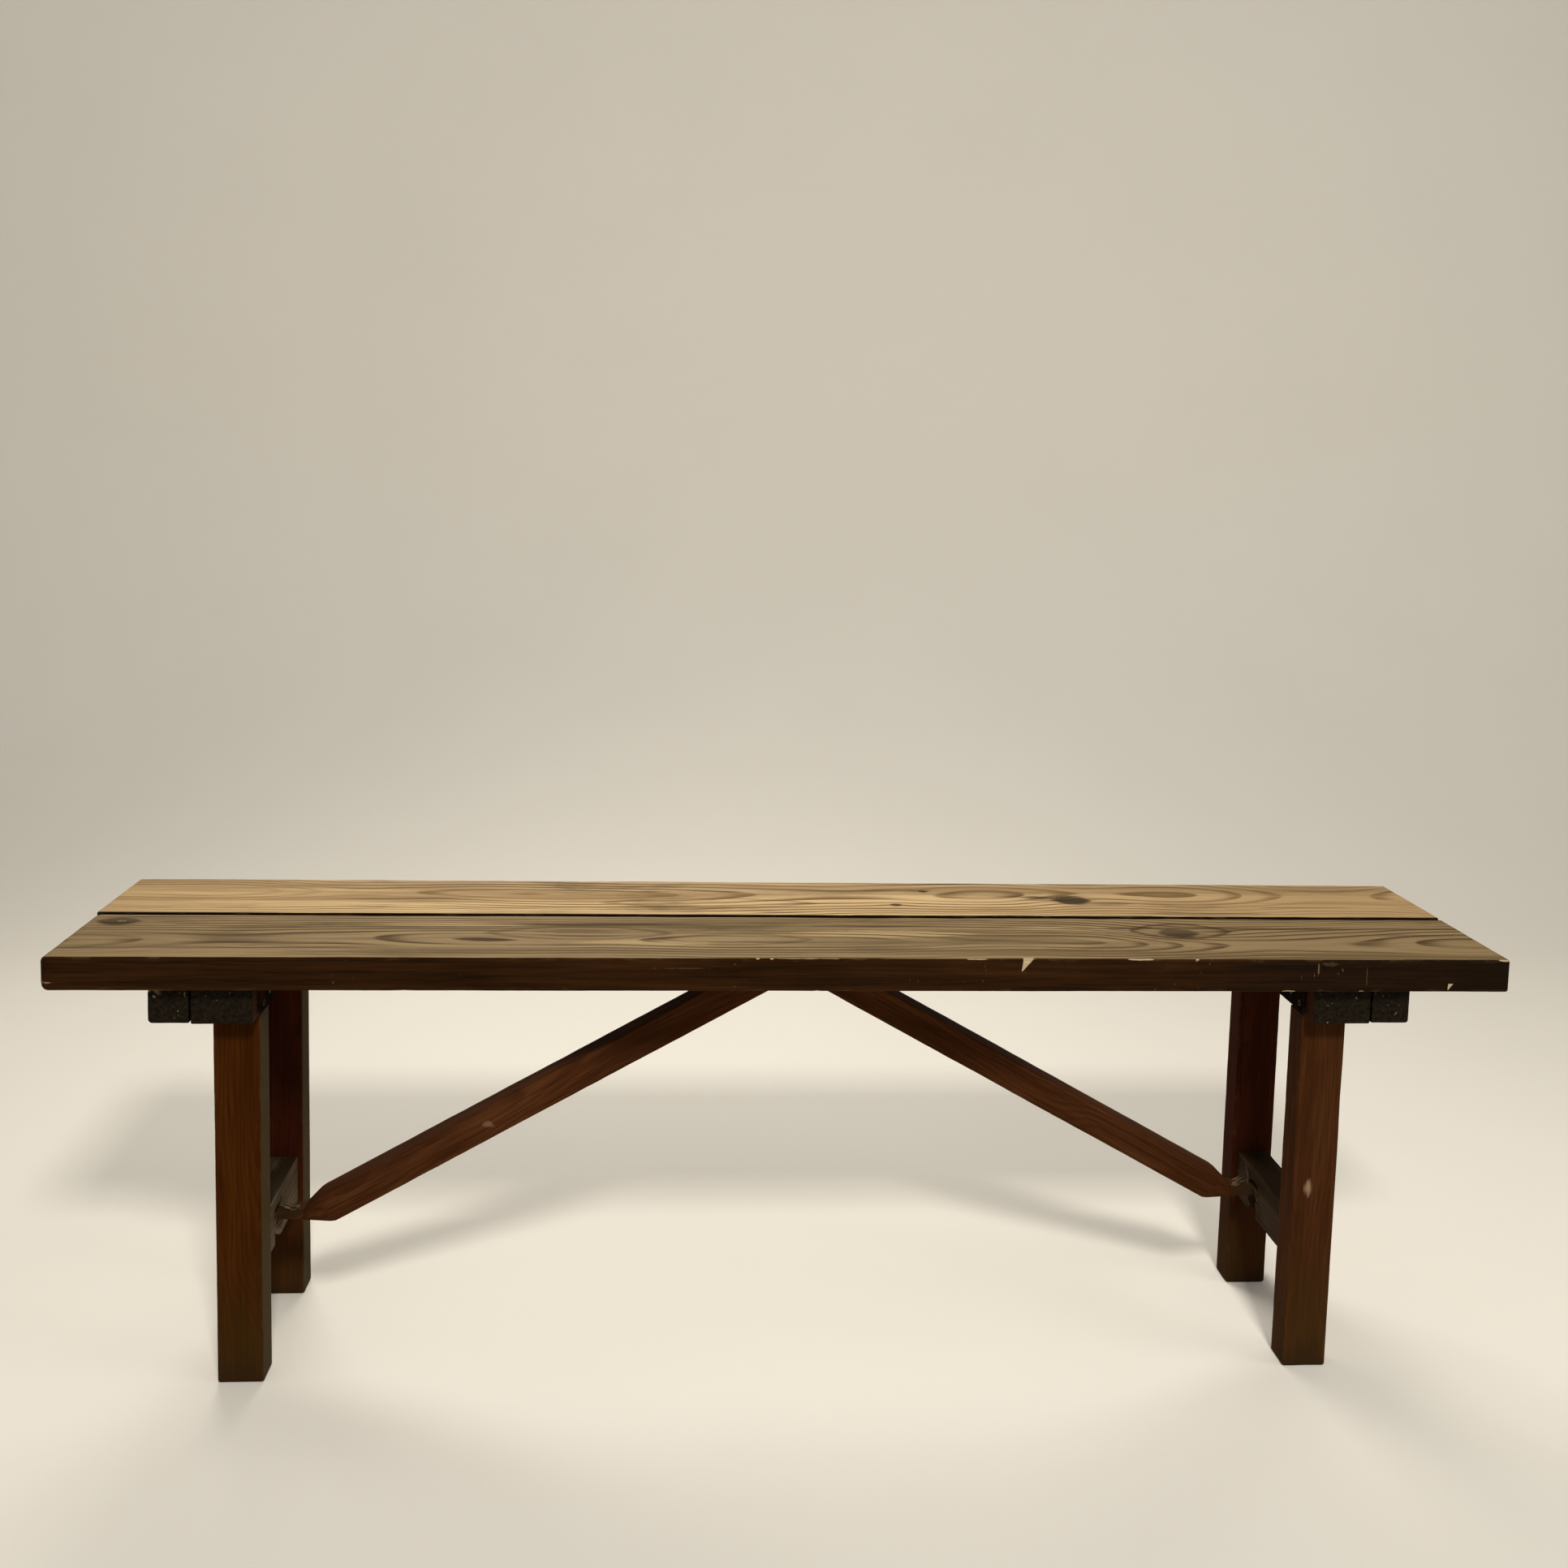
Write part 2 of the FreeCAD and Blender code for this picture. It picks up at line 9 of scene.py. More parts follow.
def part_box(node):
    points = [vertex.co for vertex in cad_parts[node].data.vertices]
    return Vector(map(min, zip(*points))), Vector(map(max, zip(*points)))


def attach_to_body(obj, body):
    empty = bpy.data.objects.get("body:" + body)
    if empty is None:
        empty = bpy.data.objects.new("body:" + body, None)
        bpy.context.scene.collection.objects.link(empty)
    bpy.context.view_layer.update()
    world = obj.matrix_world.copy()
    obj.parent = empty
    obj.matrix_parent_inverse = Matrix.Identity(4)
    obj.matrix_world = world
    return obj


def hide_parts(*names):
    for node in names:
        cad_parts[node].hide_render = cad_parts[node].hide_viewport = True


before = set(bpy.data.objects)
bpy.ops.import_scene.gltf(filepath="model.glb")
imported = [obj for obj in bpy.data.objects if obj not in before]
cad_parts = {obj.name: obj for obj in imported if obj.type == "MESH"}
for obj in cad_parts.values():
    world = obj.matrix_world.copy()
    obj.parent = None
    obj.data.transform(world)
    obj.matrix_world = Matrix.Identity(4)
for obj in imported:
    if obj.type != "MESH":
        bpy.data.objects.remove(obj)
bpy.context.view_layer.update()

# Folding bench, dressed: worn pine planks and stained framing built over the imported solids.
# Lengths are in metres, in the row frame: +X along the seat, -Y front, +Z up.

SIDES = {"left": -1, "right": 1}
ENDS = ("front", "rear")
MM = 0.001
QUARTER = 0.5 * math.pi
FULL_TURN = 2 * math.pi
X, Y, Z = range(3)
WAYS = ((1, 0, 0), (0, 1, 0), (0, 0, 1))


# Mesh tools

WAVES = 9
WAVE_SPREAD = (0.6, 1.7)
WAVE_GAIN = 1.4


def ripple(points, wavelength, seed, stretch=(1.0, 1.0, 1.0)):
    """Smooth repeatable noise of points, about -1 to 1."""
    rng = np.random.default_rng(seed)
    scaled = np.asarray(points) / np.asarray(stretch)
    total = np.zeros(len(scaled))
    for _ in range(WAVES):
        direction = rng.normal(size=3)
        direction /= np.linalg.norm(direction)
        pitch = FULL_TURN / (wavelength * rng.uniform(*WAVE_SPREAD))
        total += np.sin(scaled @ direction * pitch + rng.uniform(0, FULL_TURN))
    return total * WAVE_GAIN / WAVES


def new_object(name, vertices, faces, material, smooth=True, values=None):
    """Mesh object at the origin, with per-point values for its material."""
    mesh = bpy.data.meshes.new(name)
    mesh.from_pydata([tuple(v) for v in vertices], [], faces)
    mesh.validate()
    mesh.update()
    for key, data in (values or {}).items():
        layer = mesh.attributes.new(key, "FLOAT", "POINT")
        layer.data.foreach_set("value", np.asarray(data, dtype=np.float32))
    if smooth:
        mesh.polygons.foreach_set("use_smooth", [len(p.vertices) <= 4 for p in mesh.polygons])
    mesh.materials.append(material)
    obj = bpy.data.objects.new(name, mesh)
    bpy.context.collection.objects.link(obj)
    return obj


def attach(piece, body, node=None):
    """Let a piece ride on a body, in the place of its solid where it has one."""
    if node:
        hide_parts(node)
    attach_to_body(piece, body)


def rings_faces(base, rows, count):
    """Quads between rows of count points that close on themselves, and a face over each end."""
    faces = []
    for row in range(rows - 1):
        first = base + row * count
        for k in range(count):
            m = (k + 1) % count
            faces.append((first + k, first + m, first + count + m, first + count + k))
    faces.append(tuple(reversed(range(base, base + count))))
    faces.append(tuple(range(base + (rows - 1) * count, base + rows * count)))
    return faces


ARC_STEPS = 4
ARC_STARTS = (math.pi, 1.5 * math.pi, 0.0, 0.5 * math.pi)
ARC_EDGE = 0.4


def section_loop(low_a, high_a, low_b, high_b, radii, parts_a, parts_b):
    """Points round a rectangle with its own radius at each corner, and where each lies.

    Corners run low/low, high/low, high/high, low/high.  Each point comes with its outward
    direction, its nearness to the middle of an arris and its corner number.
    """
    corners = [(low_a, low_b), (high_a, low_b), (high_a, high_b), (low_a, high_b)]
    centres = []
    for (a, b), radius in zip(corners, radii):
        toward_a = radius if a == low_a else -radius
        toward_b = radius if b == low_b else -radius
        centres.append((a + toward_a, b + toward_b))
    points = []
    for k, ((a, b), start, radius) in enumerate(zip(centres, ARC_STARTS, radii)):
        for step in range(ARC_STEPS + 1):
            angle = start + QUARTER * step / ARC_STEPS
            way = (math.cos(angle), math.sin(angle))
            middle = 1 - abs(2 * step / ARC_STEPS - 1)
            near = ARC_EDGE + (1 - ARC_EDGE) * middle
            points.append((a + radius * way[0], b + radius * way[1], *way, near, k))
        way = (math.cos(start + QUARTER), math.sin(start + QUARTER))
        following = (k + 1) % 4
        first = np.array((a + radius * way[0], b + radius * way[1]))
        last = np.array(centres[following]) + radii[following] * np.array(way)
        parts = parts_a if k % 2 == 0 else parts_b
        for step in range(1, parts):
            points.append((*(first + (last - first) * (step / parts)), *way, 0.0, k))
    return points


END_STEPS = 4
CHIP_STEP = 1.5 * MM
LEAST_CHIP_STEPS = 4
LEAST_STEP = 0.8 * MM
ROUNDED = (2 * MM, 2 * MM)
HOLLOW = 0.35 * MM
PHASE_SPAN = 1000

# Waves as (share, wavelength, step from the piece's seed): along an arris, and sunk into a face.
ARRIS_WAVES = ((0.35, 0.11, 0), (0.25, 0.021, 11))
FACE_WAVES = ((0.5, 0.03, 31), (0.25, 0.006, 37))
CHIP_WAVE = (0.5, 0.005, 23)
WEAR_WAVE = (0.45, 0.035, 41)
WEAR_MEAN = 0.55
GRAIN_STRETCH = 5
MOST_SUNK = 2

# An arris radius against its usual size, and against the smaller side of the section.
LEAST_ARRIS = 0.35
MOST_ARRIS = 0.45
CHIP_FADE = 2.5
FLAKE_REACH = 2.5
FLAKE_SLOPE = 0.25
END_INSET = 0.25


class Timber:
    """A length of wood swept along S with section axes A and B, worn at its arrises."""

    def __init__(self, along, across, up, seed, arris, parts, step, hollow=HOLLOW, origin=(0, 0, 0)):
        self.origin = np.array(origin, float)
        self.along = np.array(along, float)
        self.across = np.array(across, float)
        self.up = np.array(up, float)
        self.seed = seed
        self.arris = arris
        self.parts = parts
        self.step = step
        self.hollow = hollow

    def wave(self, points, wave, stretch=(1.0, 1.0, 1.0), step=0):
        """One of the named waves at some points, times its share."""
        share, wavelength, own_step = wave
        return share * ripple(points, wavelength, self.seed + own_step + step, stretch)

    def stations(self, start, end, start_round, end_round, fine):
        """Places along the length with the inset at each, closer at rounded ends and fine stretches."""
        turns = [QUARTER * k / END_STEPS for k in range(END_STEPS + 1)]
        found = [(start + start_round * (1 - math.cos(turn)), 1 - math.sin(turn), 0.0) for turn in turns]
        count = max(2, round((end - start) / self.step))
        places = list(np.linspace(start + start_round, end - end_round, count + 1)[1:-1])
        for middle, half in fine:
            steps = max(LEAST_CHIP_STEPS, round(half / CHIP_STEP))
            places += list(np.linspace(middle - half, middle + half, 2 * steps + 1))
        last = start + start_round
        for place in sorted(places):
            if place - last > LEAST_STEP and place < end - end_round - LEAST_STEP:
                found.append((place, 0.0, 0.0))
                last = place
        for turn in reversed(turns):
            found.append((end - end_round * (1 - math.cos(turn)), 0.0, 1 - math.sin(turn)))
        return found

    def radii_at(self, place, phases, most, chips):
        """Radius of each arris at a place, and how torn it is there."""
        radii = []
        torn = [0.0] * 4
        for corner in range(4):
            spot = np.array([[place, phases[corner], 0.0]])
            wander = 1 + sum(self.wave(spot, wave, step=corner)[0] for wave in ARRIS_WAVES)
            radius = self.arris[corner] * max(wander, LEAST_ARRIS)
            for chip_corner, middle, half, extra, paleness in chips:
                if chip_corner == corner:
                    near = max(0.0, 1 - abs(place - middle) / half)
                    radius += extra * near * (1 + self.wave(spot, CHIP_WAVE)[0])
                    torn[corner] = max(torn[corner], paleness * min(1.0, CHIP_FADE * near))
            radii.append(min(radius, most))
        return radii, torn

    def build(self, name, material, start, end, section, start_round=ROUNDED, end_round=ROUNDED,
              chips=(), flakes=()):
        """Sweep section(s) -> (low_a, high_a, low_b, high_b) from start to end and close both ends.

        Chips are (corner, place, half length, extra radius, paleness).  Flakes are dents torn in the
        front face: (middle, half width and height, lean of x on z, depth).
        """
        fine = [(middle, half) for corner, middle, half, extra, paleness in chips]
        fine += [(middle[0], FLAKE_REACH * half[0]) for middle, half, lean, depth in flakes]
        stations = self.stations(start, end, start_round[1], end_round[1], fine)
        phases = np.random.default_rng(self.seed).uniform(0, PHASE_SPAN, size=4)
        points, ways, near, ends, tears = [], [], [], [], []
        for place, at_start, at_end in stations:
            low_a, high_a, low_b, high_b = section(place)
            inset_a = start_round[0] * at_start + end_round[0] * at_end
            inset_b = start_round[1] * at_start + end_round[1] * at_end
            sides = (low_a + inset_a, high_a - inset_a, low_b + inset_b, high_b - inset_b)
            most = MOST_ARRIS * min(sides[1] - sides[0], sides[3] - sides[2])
            radii, torn = self.radii_at(place, phases, most, chips)
            for a, b, way_a, way_b, arc, corner in section_loop(*sides, radii, *self.parts):
                points.append(self.origin + place * self.along + a * self.across + b * self.up)
                ways.append(way_a * self.across + way_b * self.up)
                near.append(arc)
                ends.append(1.0 if max(at_start, at_end) > END_INSET else 0.0)
                tears.append(torn[corner] * arc)
        points = np.array(points)
        ways = np.array(ways)
        for middle, half, lean, depth in flakes:
            away = points - np.array(middle)
            across = np.abs(away[:, 0] - lean * away[:, 2]) / half[0]
            reach = np.maximum(across, np.abs(away[:, 2]) / half[1])
            inside = np.clip(1 + FLAKE_SLOPE - reach, 0, FLAKE_SLOPE) / FLAKE_SLOPE
            points -= ways * (depth * inside * (np.abs(away[:, 1]) < half[1]))[:, None]
        stretch = 1 + GRAIN_STRETCH * np.abs(self.along)
        sunk = sum(wave[0] + self.wave(points, wave, stretch) for wave in FACE_WAVES)
        points = points - ways * (self.hollow * np.clip(sunk, 0, MOST_SUNK))[:, None]
        faces = rings_faces(0, len(stations), len(points) // len(stations))
        if np.linalg.det(np.array([self.across, self.up, self.along])) < 0:
            faces = [tuple(reversed(face)) for face in faces]
        rub = np.array(near) * np.clip(WEAR_MEAN + self.wave(points, WEAR_WAVE), 0, 1)
        values = {"wear": rub, "end": ends, "torn": tears}
        return new_object(name, points, faces, material, values=values)


WELD = 0.06 * MM


def combine(obj, tool, operation):
    """Join or cut obj with a closed tool, weld the slivers left and drop the tool."""
    modifier = obj.modifiers.new("combine", "BOOLEAN")
    modifier.operation = operation
    modifier.solver = "EXACT"
    modifier.object = tool
    graph = bpy.context.evaluated_depsgraph_get()
    made = bpy.data.meshes.new_from_object(obj.evaluated_get(graph))
    obj.modifiers.clear()
    welded = bmesh.new()
    welded.from_mesh(made)
    bmesh.ops.remove_doubles(welded, verts=welded.verts, dist=WELD)
    bmesh.ops.triangulate(welded, faces=[face for face in welded.faces if len(face.verts) > 4])
    bmesh.ops.dissolve_degenerate(welded, dist=WELD, edges=welded.edges)
    welded.to_mesh(made)
    welded.free()
    obj.data = made
    bpy.data.objects.remove(tool)


# Material tools

def linear(red, green, blue):
    """Linear colour of 8-bit sRGB numbers."""
    def one(value):
        value /= 255
        return value / 12.92 if value <= 0.04045 else ((value + 0.055) / 1.055) ** 2.4
    return (one(red), one(green), one(blue), 1.0)


def operator(operation, turned=False):
    """Method of Value that adds a math node; turned puts the value second."""
    def method(self, other=0.0):
        first, second = (other, self) if turned else (self, other)
        return self.shader.math(operation, first, second)
    return method


class Value:
    """A number in a material; sums and products written with it add the nodes that work them out."""

    def __init__(self, shader, socket):
        self.shader = shader
        self.socket = socket

    __add__ = operator("ADD")
    __sub__ = operator("SUBTRACT")
    __rsub__ = operator("SUBTRACT", turned=True)
    __mul__ = operator("MULTIPLY")
    __truediv__ = operator("DIVIDE")
    __rtruediv__ = operator("DIVIDE", turned=True)
    __abs__ = operator("ABSOLUTE")


LENS_BLUNT = 0.04
NOISE_ROUGHNESS = 0.55


class Shader:
    """A principled material with short calls for its nodes.

    fields names noises as (stretch, detail, roughness), swings how far each moves something, and steps
    where a look sets in, where it is full and how strongly it is laid on.
    """

    fields = {}
    swings = {}
    steps = {}

    def __init__(self, name):
        self.material = bpy.data.materials.new(name)
        self.material.use_nodes = True
        self.tree = self.material.node_tree
        self.principled = self.tree.nodes["Principled BSDF"]
        coordinates = self.add("ShaderNodeTexCoord").outputs
        self.place = coordinates["Object"]
        self.normal = self.parts_of(coordinates["Normal"])

    def add(self, kind, inputs=None, **properties):
        """A node with its properties and inputs set; sockets and values given as inputs are linked."""
        node = self.tree.nodes.new(kind)
        for key, value in properties.items():
            setattr(node, key, value)
        for key, value in (inputs or {}).items():
            self.feed(node.inputs[key], value)
        return node

    def feed(self, socket, value):
        """Link or set one input."""
        source = value.socket if isinstance(value, Value) else value
        if isinstance(source, bpy.types.NodeSocket):
            self.tree.links.new(source, socket)
        else:
            socket.default_value = source

    def math(self, operation, first, second=0.0, clamp=False):
        node = self.add("ShaderNodeMath", {0: first, 1: second}, operation=operation, use_clamp=clamp)
        return Value(self, node.outputs[0])

    def most(self, first, second):
        return self.math("MAXIMUM", first, second)

    def vector(self, operation, first, second):
        return self.add("ShaderNodeVectorMath", {0: first, 1: second}, operation=operation).outputs[0]

    def parts_of(self, vector):
        return [Value(self, part) for part in self.add("ShaderNodeSeparateXYZ", {0: vector}).outputs]

    def attribute(self, name):
        return Value(self, self.add("ShaderNodeAttribute", attribute_name=name).outputs["Fac"])

    def noise(self, place, stretch, detail=3.0, roughness=NOISE_ROUGHNESS):
        """Noise at a place that is scaled by one number, or stretched by three."""
        scale = stretch
        if isinstance(stretch, tuple):
            place = self.vector("MULTIPLY", place, stretch)
            scale = 1.0
        inputs = {"Vector": place, "Scale": scale, "Detail": detail, "Roughness": roughness}
        return Value(self, self.add("ShaderNodeTexNoise", inputs).outputs["Fac"])

    def field(self, name, place):
        """One of the material's named noises."""
        return self.noise(place, *self.fields[name])

    def swing(self, name, noise):
        """Noise brought to about 0 in the mean and scaled by a named swing."""
        return (noise - 0.5) * self.swings[name]

    def ease(self, value, low, high):
        """Smooth 0 to 1 as value goes from low to high."""
        node = self.add("ShaderNodeMapRange", {0: value, 1: low, 2: high, 3: 0.0, 4: 1.0},
                        interpolation_type="SMOOTHSTEP")
        return Value(self, node.outputs[0])

    def over(self, value, name):
        """Smooth 0 to 1 as value goes through a named step."""
        return self.ease(value, *self.steps[name][:2])

    def mix(self, share, first, second):
        return self.add("ShaderNodeMix", {0: share, 6: first, 7: second}, data_type="RGBA").outputs[2]

    def lay(self, colour, value, name, paint, strength=1.0):
        """Paint laid over a colour where a value passes a named step."""
        return self.mix(self.over(value, name) * (strength * self.steps[name][2]), colour, paint)

    def ramp(self, share, places, colours):
        """Colours at places along a share."""
        node = self.add("ShaderNodeValToRGB", {0: share})
        elements = node.color_ramp.elements
        while len(elements) < len(places):
            elements.new(0.5)
        for element, place, colour in zip(elements, places, colours):
            element.position = place
            element.color = colour
        return node.outputs[0]

    def late_wood(self, rings):
        """Dark end of each year's ring, which fades in slowly and ends soon."""
        phase = self.math("FRACT", rings)
        return self.over(phase, "late") * (1.0 - self.over(phase, "ring_end"))

    def lens(self, offset, half_x, half_y):
        """Field of a flat shape pointed at both ends: 1 on its outline, less inside it."""
        x, y = self.parts_of(self.vector("MULTIPLY", offset, (1 / half_x, 1 / half_y, 0.0)))[:2]
        return x * x + self.math("SQRT", y * y + LENS_BLUNT)

    def distance(self, spot, half):
        """How far a place lies from a spot, 1 on the ellipsoid with these half sizes."""
        away = self.vector("DIVIDE", self.vector("SUBTRACT", self.place, spot), half)
        return Value(self, self.add("ShaderNodeVectorMath", {0: away}, operation="LENGTH").outputs[1])

    def finish(self, colour, roughness, specular, height=None, depth=0.0):
        """Wire colour, roughness and bump into the shader; the specular level is set on its socket."""
        self.feed(self.principled.inputs["Base Color"], colour)
        self.feed(self.principled.inputs["Roughness"], roughness)
        self.principled.inputs["Specular IOR Level"].default_value = specular
        if height is not None:
            bump = self.add("ShaderNodeBump", {"Height": height, "Distance": depth, "Strength": 1.0})
            self.feed(self.principled.inputs["Normal"], bump.outputs[0])
        return self.material


FRONT_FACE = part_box("front_plank")[0].y
SEAT_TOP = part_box("front_plank")[1].z
GAP_MIDDLE = 0.5 * (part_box("front_plank")[1].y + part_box("rear_plank")[0].y)

# Painted shade: near black laid along the gap between the two planks, on the tops beside it and on its walls.
GAP_SHADE = linear(9, 4, 2)
KNOT_BROWN = linear(88, 70, 46)
KNOT_DARK = linear(36, 29, 22)
PATCH_BROWN = linear(84, 68, 45)
STREAK_BROWN = linear(46, 31, 18)
SOOT = linear(14, 10, 6)
EDGE_STAIN = (linear(15, 7, 2), linear(54, 31, 12))
UNDER_STAIN = (linear(92, 68, 43), linear(42, 28, 16))
RUBBED_EDGE = linear(104, 84, 56)
FLECK_PALE = linear(140, 124, 98)
BARE_LOW = linear(118, 96, 66)
BARE_HIGH = linear(206, 186, 152)

RINGS_PER_METRE = 150.0
# A knot's pull reaches past its half sizes and falls off; its eye is darker from one y to another.
KNOT_REACH = (2.6, 1.5)
KNOT_FALL = 0.55
KNOT_LOWER = 0.55
LOWER_FROM = 0.3
LOWER_TO = -0.4
# Grain is late wood and fibre, and takes its colours at these places.
LEAST_LATE = 0.25
LATE_WEIGHT = 0.68
FIBRE_MIDDLE = 0.42
FIBRE_WEIGHT = 1.1
BETWEEN = (0.55, 0.45)
GRAIN_PLACES = (0.0, 0.40, 0.95)
SHADE_WEIGHT = 0.6
SHADE_PLACES = (0.34, 0.66)
UNDER_PLACES = (0.1, 0.8)
# Ragged noise moves these outlines by so much.
LOOP_RAGGED = 0.25
FLAME_RAGGED = 0.8
FLAKE_RAGGED = 0.35
GAP_RAGGED = 1.6 * MM
FLAME_GAIN = 1.5
# Middle of the painted light falloff on the plank tops.
FALLOFF_MIDDLE = -0.12
STREAK_SHARE = 0.72
RIM_SHARE = 0.45
RUB_SHARE = 0.45
FLECK_SHARE = 0.55
# A flake's width at mid height, its growth upward and its least.
FLAKE_WIDTH = 0.56
FLAKE_GROWTH = 0.46
FLAKE_LEAST = 0.3 * MM
PINE_ROUGH = 0.58
PATCH_ROUGH = 0.25
LATE_BUMP = 0.5
FIBRE_BUMP = 0.6
STREAK_BUMP = 0.6


class Pine(Shader):
    """Seat plank: flat-sawn pine with knots on top, dark stain on its edges and below."""

    fields = {
        "slow": ((1.6, 5.0, 5.0), 2.0), "sway": ((5.0, 18.0, 18.0), 2.0), "dip": ((2.3, 0.6, 0.6), 1.0),
        "fray": ((40.0, 200.0, 200.0), 3.0, 0.6), "fibre": ((9.0, 420.0, 420.0), 4.0, 0.65),
        "strength": ((2.2, 32.0, 32.0), 2.0), "broad": ((2.1, 38.0, 38.0), 3.0, 0.6),
        "patch": ((4.5, 17.0, 17.0), 5.0, 0.65), "streak": ((3.2, 105.0, 105.0), 3.0),
        "sparse": ((1.9, 12.0, 12.0), 1.0), "blotch": ((12.0, 90.0, 90.0), 4.0, 0.65),
        "shade": ((5.0, 95.0, 95.0), 4.0, 0.65), "rub": ((40.0, 160.0, 160.0), 3.0),
        "fleck": ((330.0, 90.0, 120.0), 2.0), "rare": ((9.0, 20.0, 20.0), 2.0),
    }
    swings = {"slow": 0.055, "sway": 0.007, "dip": 0.085, "fray": 1.1, "side": 0.3, "sooty": 0.5,
              "scrape": 2.4}
    steps = {
        "late": (0.42, 0.86), "ring_end": (0.90, 1.0), "strong": (0.38, 0.62),
        "broad": (0.44, 0.68, 0.75), "patch": (0.53, 0.76, 0.8), "outer": (0.25, 0.8, 1.0),
        "in_loop": (1.0, 0.5, 0.30), "loop_line": (0.72, 0.98), "loop_out": (1.16, 1.02),
        "in_flame": (1.1, 0.5), "early": (0.75, 0.15), "streak": (0.58, 0.67), "sparse": (0.47, 0.58),
        "in_smear": (1.25, 0.2, 1.0), "halo": (2.4, 0.9, 0.35), "in_knot": (1.15, 0.75, 0.9),
        "rim": (0.75, 0.95), "rim_out": (1.3, 1.05), "gap": (6.6 * MM, 4.8 * MM, 0.9),
        "side": (0.92, 0.78), "below": (-0.6, -0.9, 0.8), "sooty": (0.30, 0.72, 1.0),
        "gap_wall": (9 * MM, 6 * MM, 0.9), "rub": (0.52, 0.66), "fleck": (0.70, 0.76),
        "rare": (0.56, 0.66), "bare": (0.45, 0.62), "in_flake": (1.12, 0.96), "scraped": (1.1, 0.6, 1.0),
        "front": (FRONT_FACE + 6 * MM, FRONT_FACE + 4 * MM),
    }

    def __init__(self, name, offset, heart, knots):
        """Lay out the grain.

        heart is (y, depth below the top) of the rings' middle.  Knots are (x, y, half length,
        half width, pull on the rings, darkness).
        """
        super().__init__(name)
        self.flat = self.vector("ADD", self.place, (0.0, 0.0, -SEAT_TOP))
        self.x, self.y, z = self.parts_of(self.flat)
        self.moved = self.vector("ADD", self.flat, offset)
        self.from_gap = abs(self.y - GAP_MIDDLE)
        self.ragged = self.bend("fray")
        self.fibre, self.patch, self.blotch, self.fleck = map(self.own, ("fibre", "patch", "blotch", "fleck"))
        self.streaks = self.over(self.own("streak"), "streak") * self.over(self.own("sparse"), "sparse")
        across = self.y - heart[0] + self.bend("slow") + self.bend("sway")
        down = z + heart[1] + self.bend("dip")
        rings = self.math("SQRT", across * across + down * down) * RINGS_PER_METRE
        self.eyes = []
        for x, y, half_x, half_y, pull, darkness in knots:
            reach = self.spot(x, y, KNOT_REACH[0] * half_x, KNOT_REACH[1] * half_y)
            rings = rings + pull / (reach * reach * KNOT_FALL + 1.0)
            lower = self.ease(self.y - y, LOWER_FROM * half_y, LOWER_TO * half_y)
            edge = self.spot(x, y, half_x, half_y) + self.ragged
            self.eyes.append((edge, self.math("ADD", lower * KNOT_LOWER, darkness, True)))
        self.late = self.late_wood(rings) * (self.over(self.own("strength"), "strong") + LEAST_LATE)
        fibre = (self.fibre - FIBRE_MIDDLE) * FIBRE_WEIGHT
        self.grain = self.math("ADD", self.late * LATE_WEIGHT, fibre, True)

    def own(self, name):
        """One of the plank's noises at its own place in the wood."""
        return self.field(name, self.moved)

    def bend(self, name):
        """One of these noises swung about 0."""
        return self.swing(name, self.own(name))

    def spot(self, x, y, half_x, half_y):
        """Field of a pointed shape on the top."""
        return self.lens(self.vector("SUBTRACT", self.flat, (x, y, 0.0)), half_x, half_y)

    def top(self, colours, dull, loops, flames, smears):
        """Colour of the top.

        colours are pale, deep and smudge, and dull lays the smudge colour towards the ends as a painted light
        falloff, the middle lit brightest.  Loops, grain lines round a pointed eye, pale flames and dark
        smears are (x, y, half length, half width, strength).
        """
        pale, deep, smudge = colours
        between = tuple(BETWEEN[0] * p + BETWEEN[1] * d for p, d in zip(pale, deep))
        bright = tuple(FLAME_GAIN * part for part in pale[:3]) + (1.0,)
        wood = self.ramp(self.grain, GRAIN_PLACES, (pale, between, deep))
        wood = self.lay(wood, self.own("broad"), "broad", smudge)
        wood = self.lay(wood, self.patch, "patch", PATCH_BROWN)
        # Painted light falloff: smudge colour laid towards the plank's ends, so the middle reads as lit
        # brightest.
        wood = self.lay(wood, abs(self.x - FALLOFF_MIDDLE), "outer", smudge, dull)
        for *spot, strength in loops:
            field = self.spot(*spot) + self.ragged * LOOP_RAGGED
            wood = self.lay(wood, field, "in_loop", pale, strength)
            line = self.over(field, "loop_line") * self.over(field, "loop_out")
            wood = self.mix(line * strength, wood, deep)
        for *spot, strength in flames:
            field = self.spot(*spot) + self.ragged * FLAME_RAGGED
            flame = self.over(field, "in_flame") * self.over(self.grain, "early")
            wood = self.mix(flame * strength, wood, bright)
        wood = self.mix(self.streaks * STREAK_SHARE, wood, STREAK_BROWN)
        for *spot, strength in smears:
            wood = self.lay(wood, self.spot(*spot) + self.ragged, "in_smear", STREAK_BROWN, strength)
        for edge, darkness in self.eyes:
            wood = self.lay(wood, edge, "halo", smudge)
            wood = self.lay(wood, edge, "in_knot", self.mix(darkness, KNOT_BROWN, KNOT_DARK))
            rim = self.over(edge, "rim") * self.over(edge, "rim_out")
            wood = self.mix(rim * RIM_SHARE, wood, STREAK_BROWN)
        # Painted shade on the tops along the gap between the planks.
        return self.lay(wood, self.from_gap + self.ragged * GAP_RAGGED, "gap", GAP_SHADE)

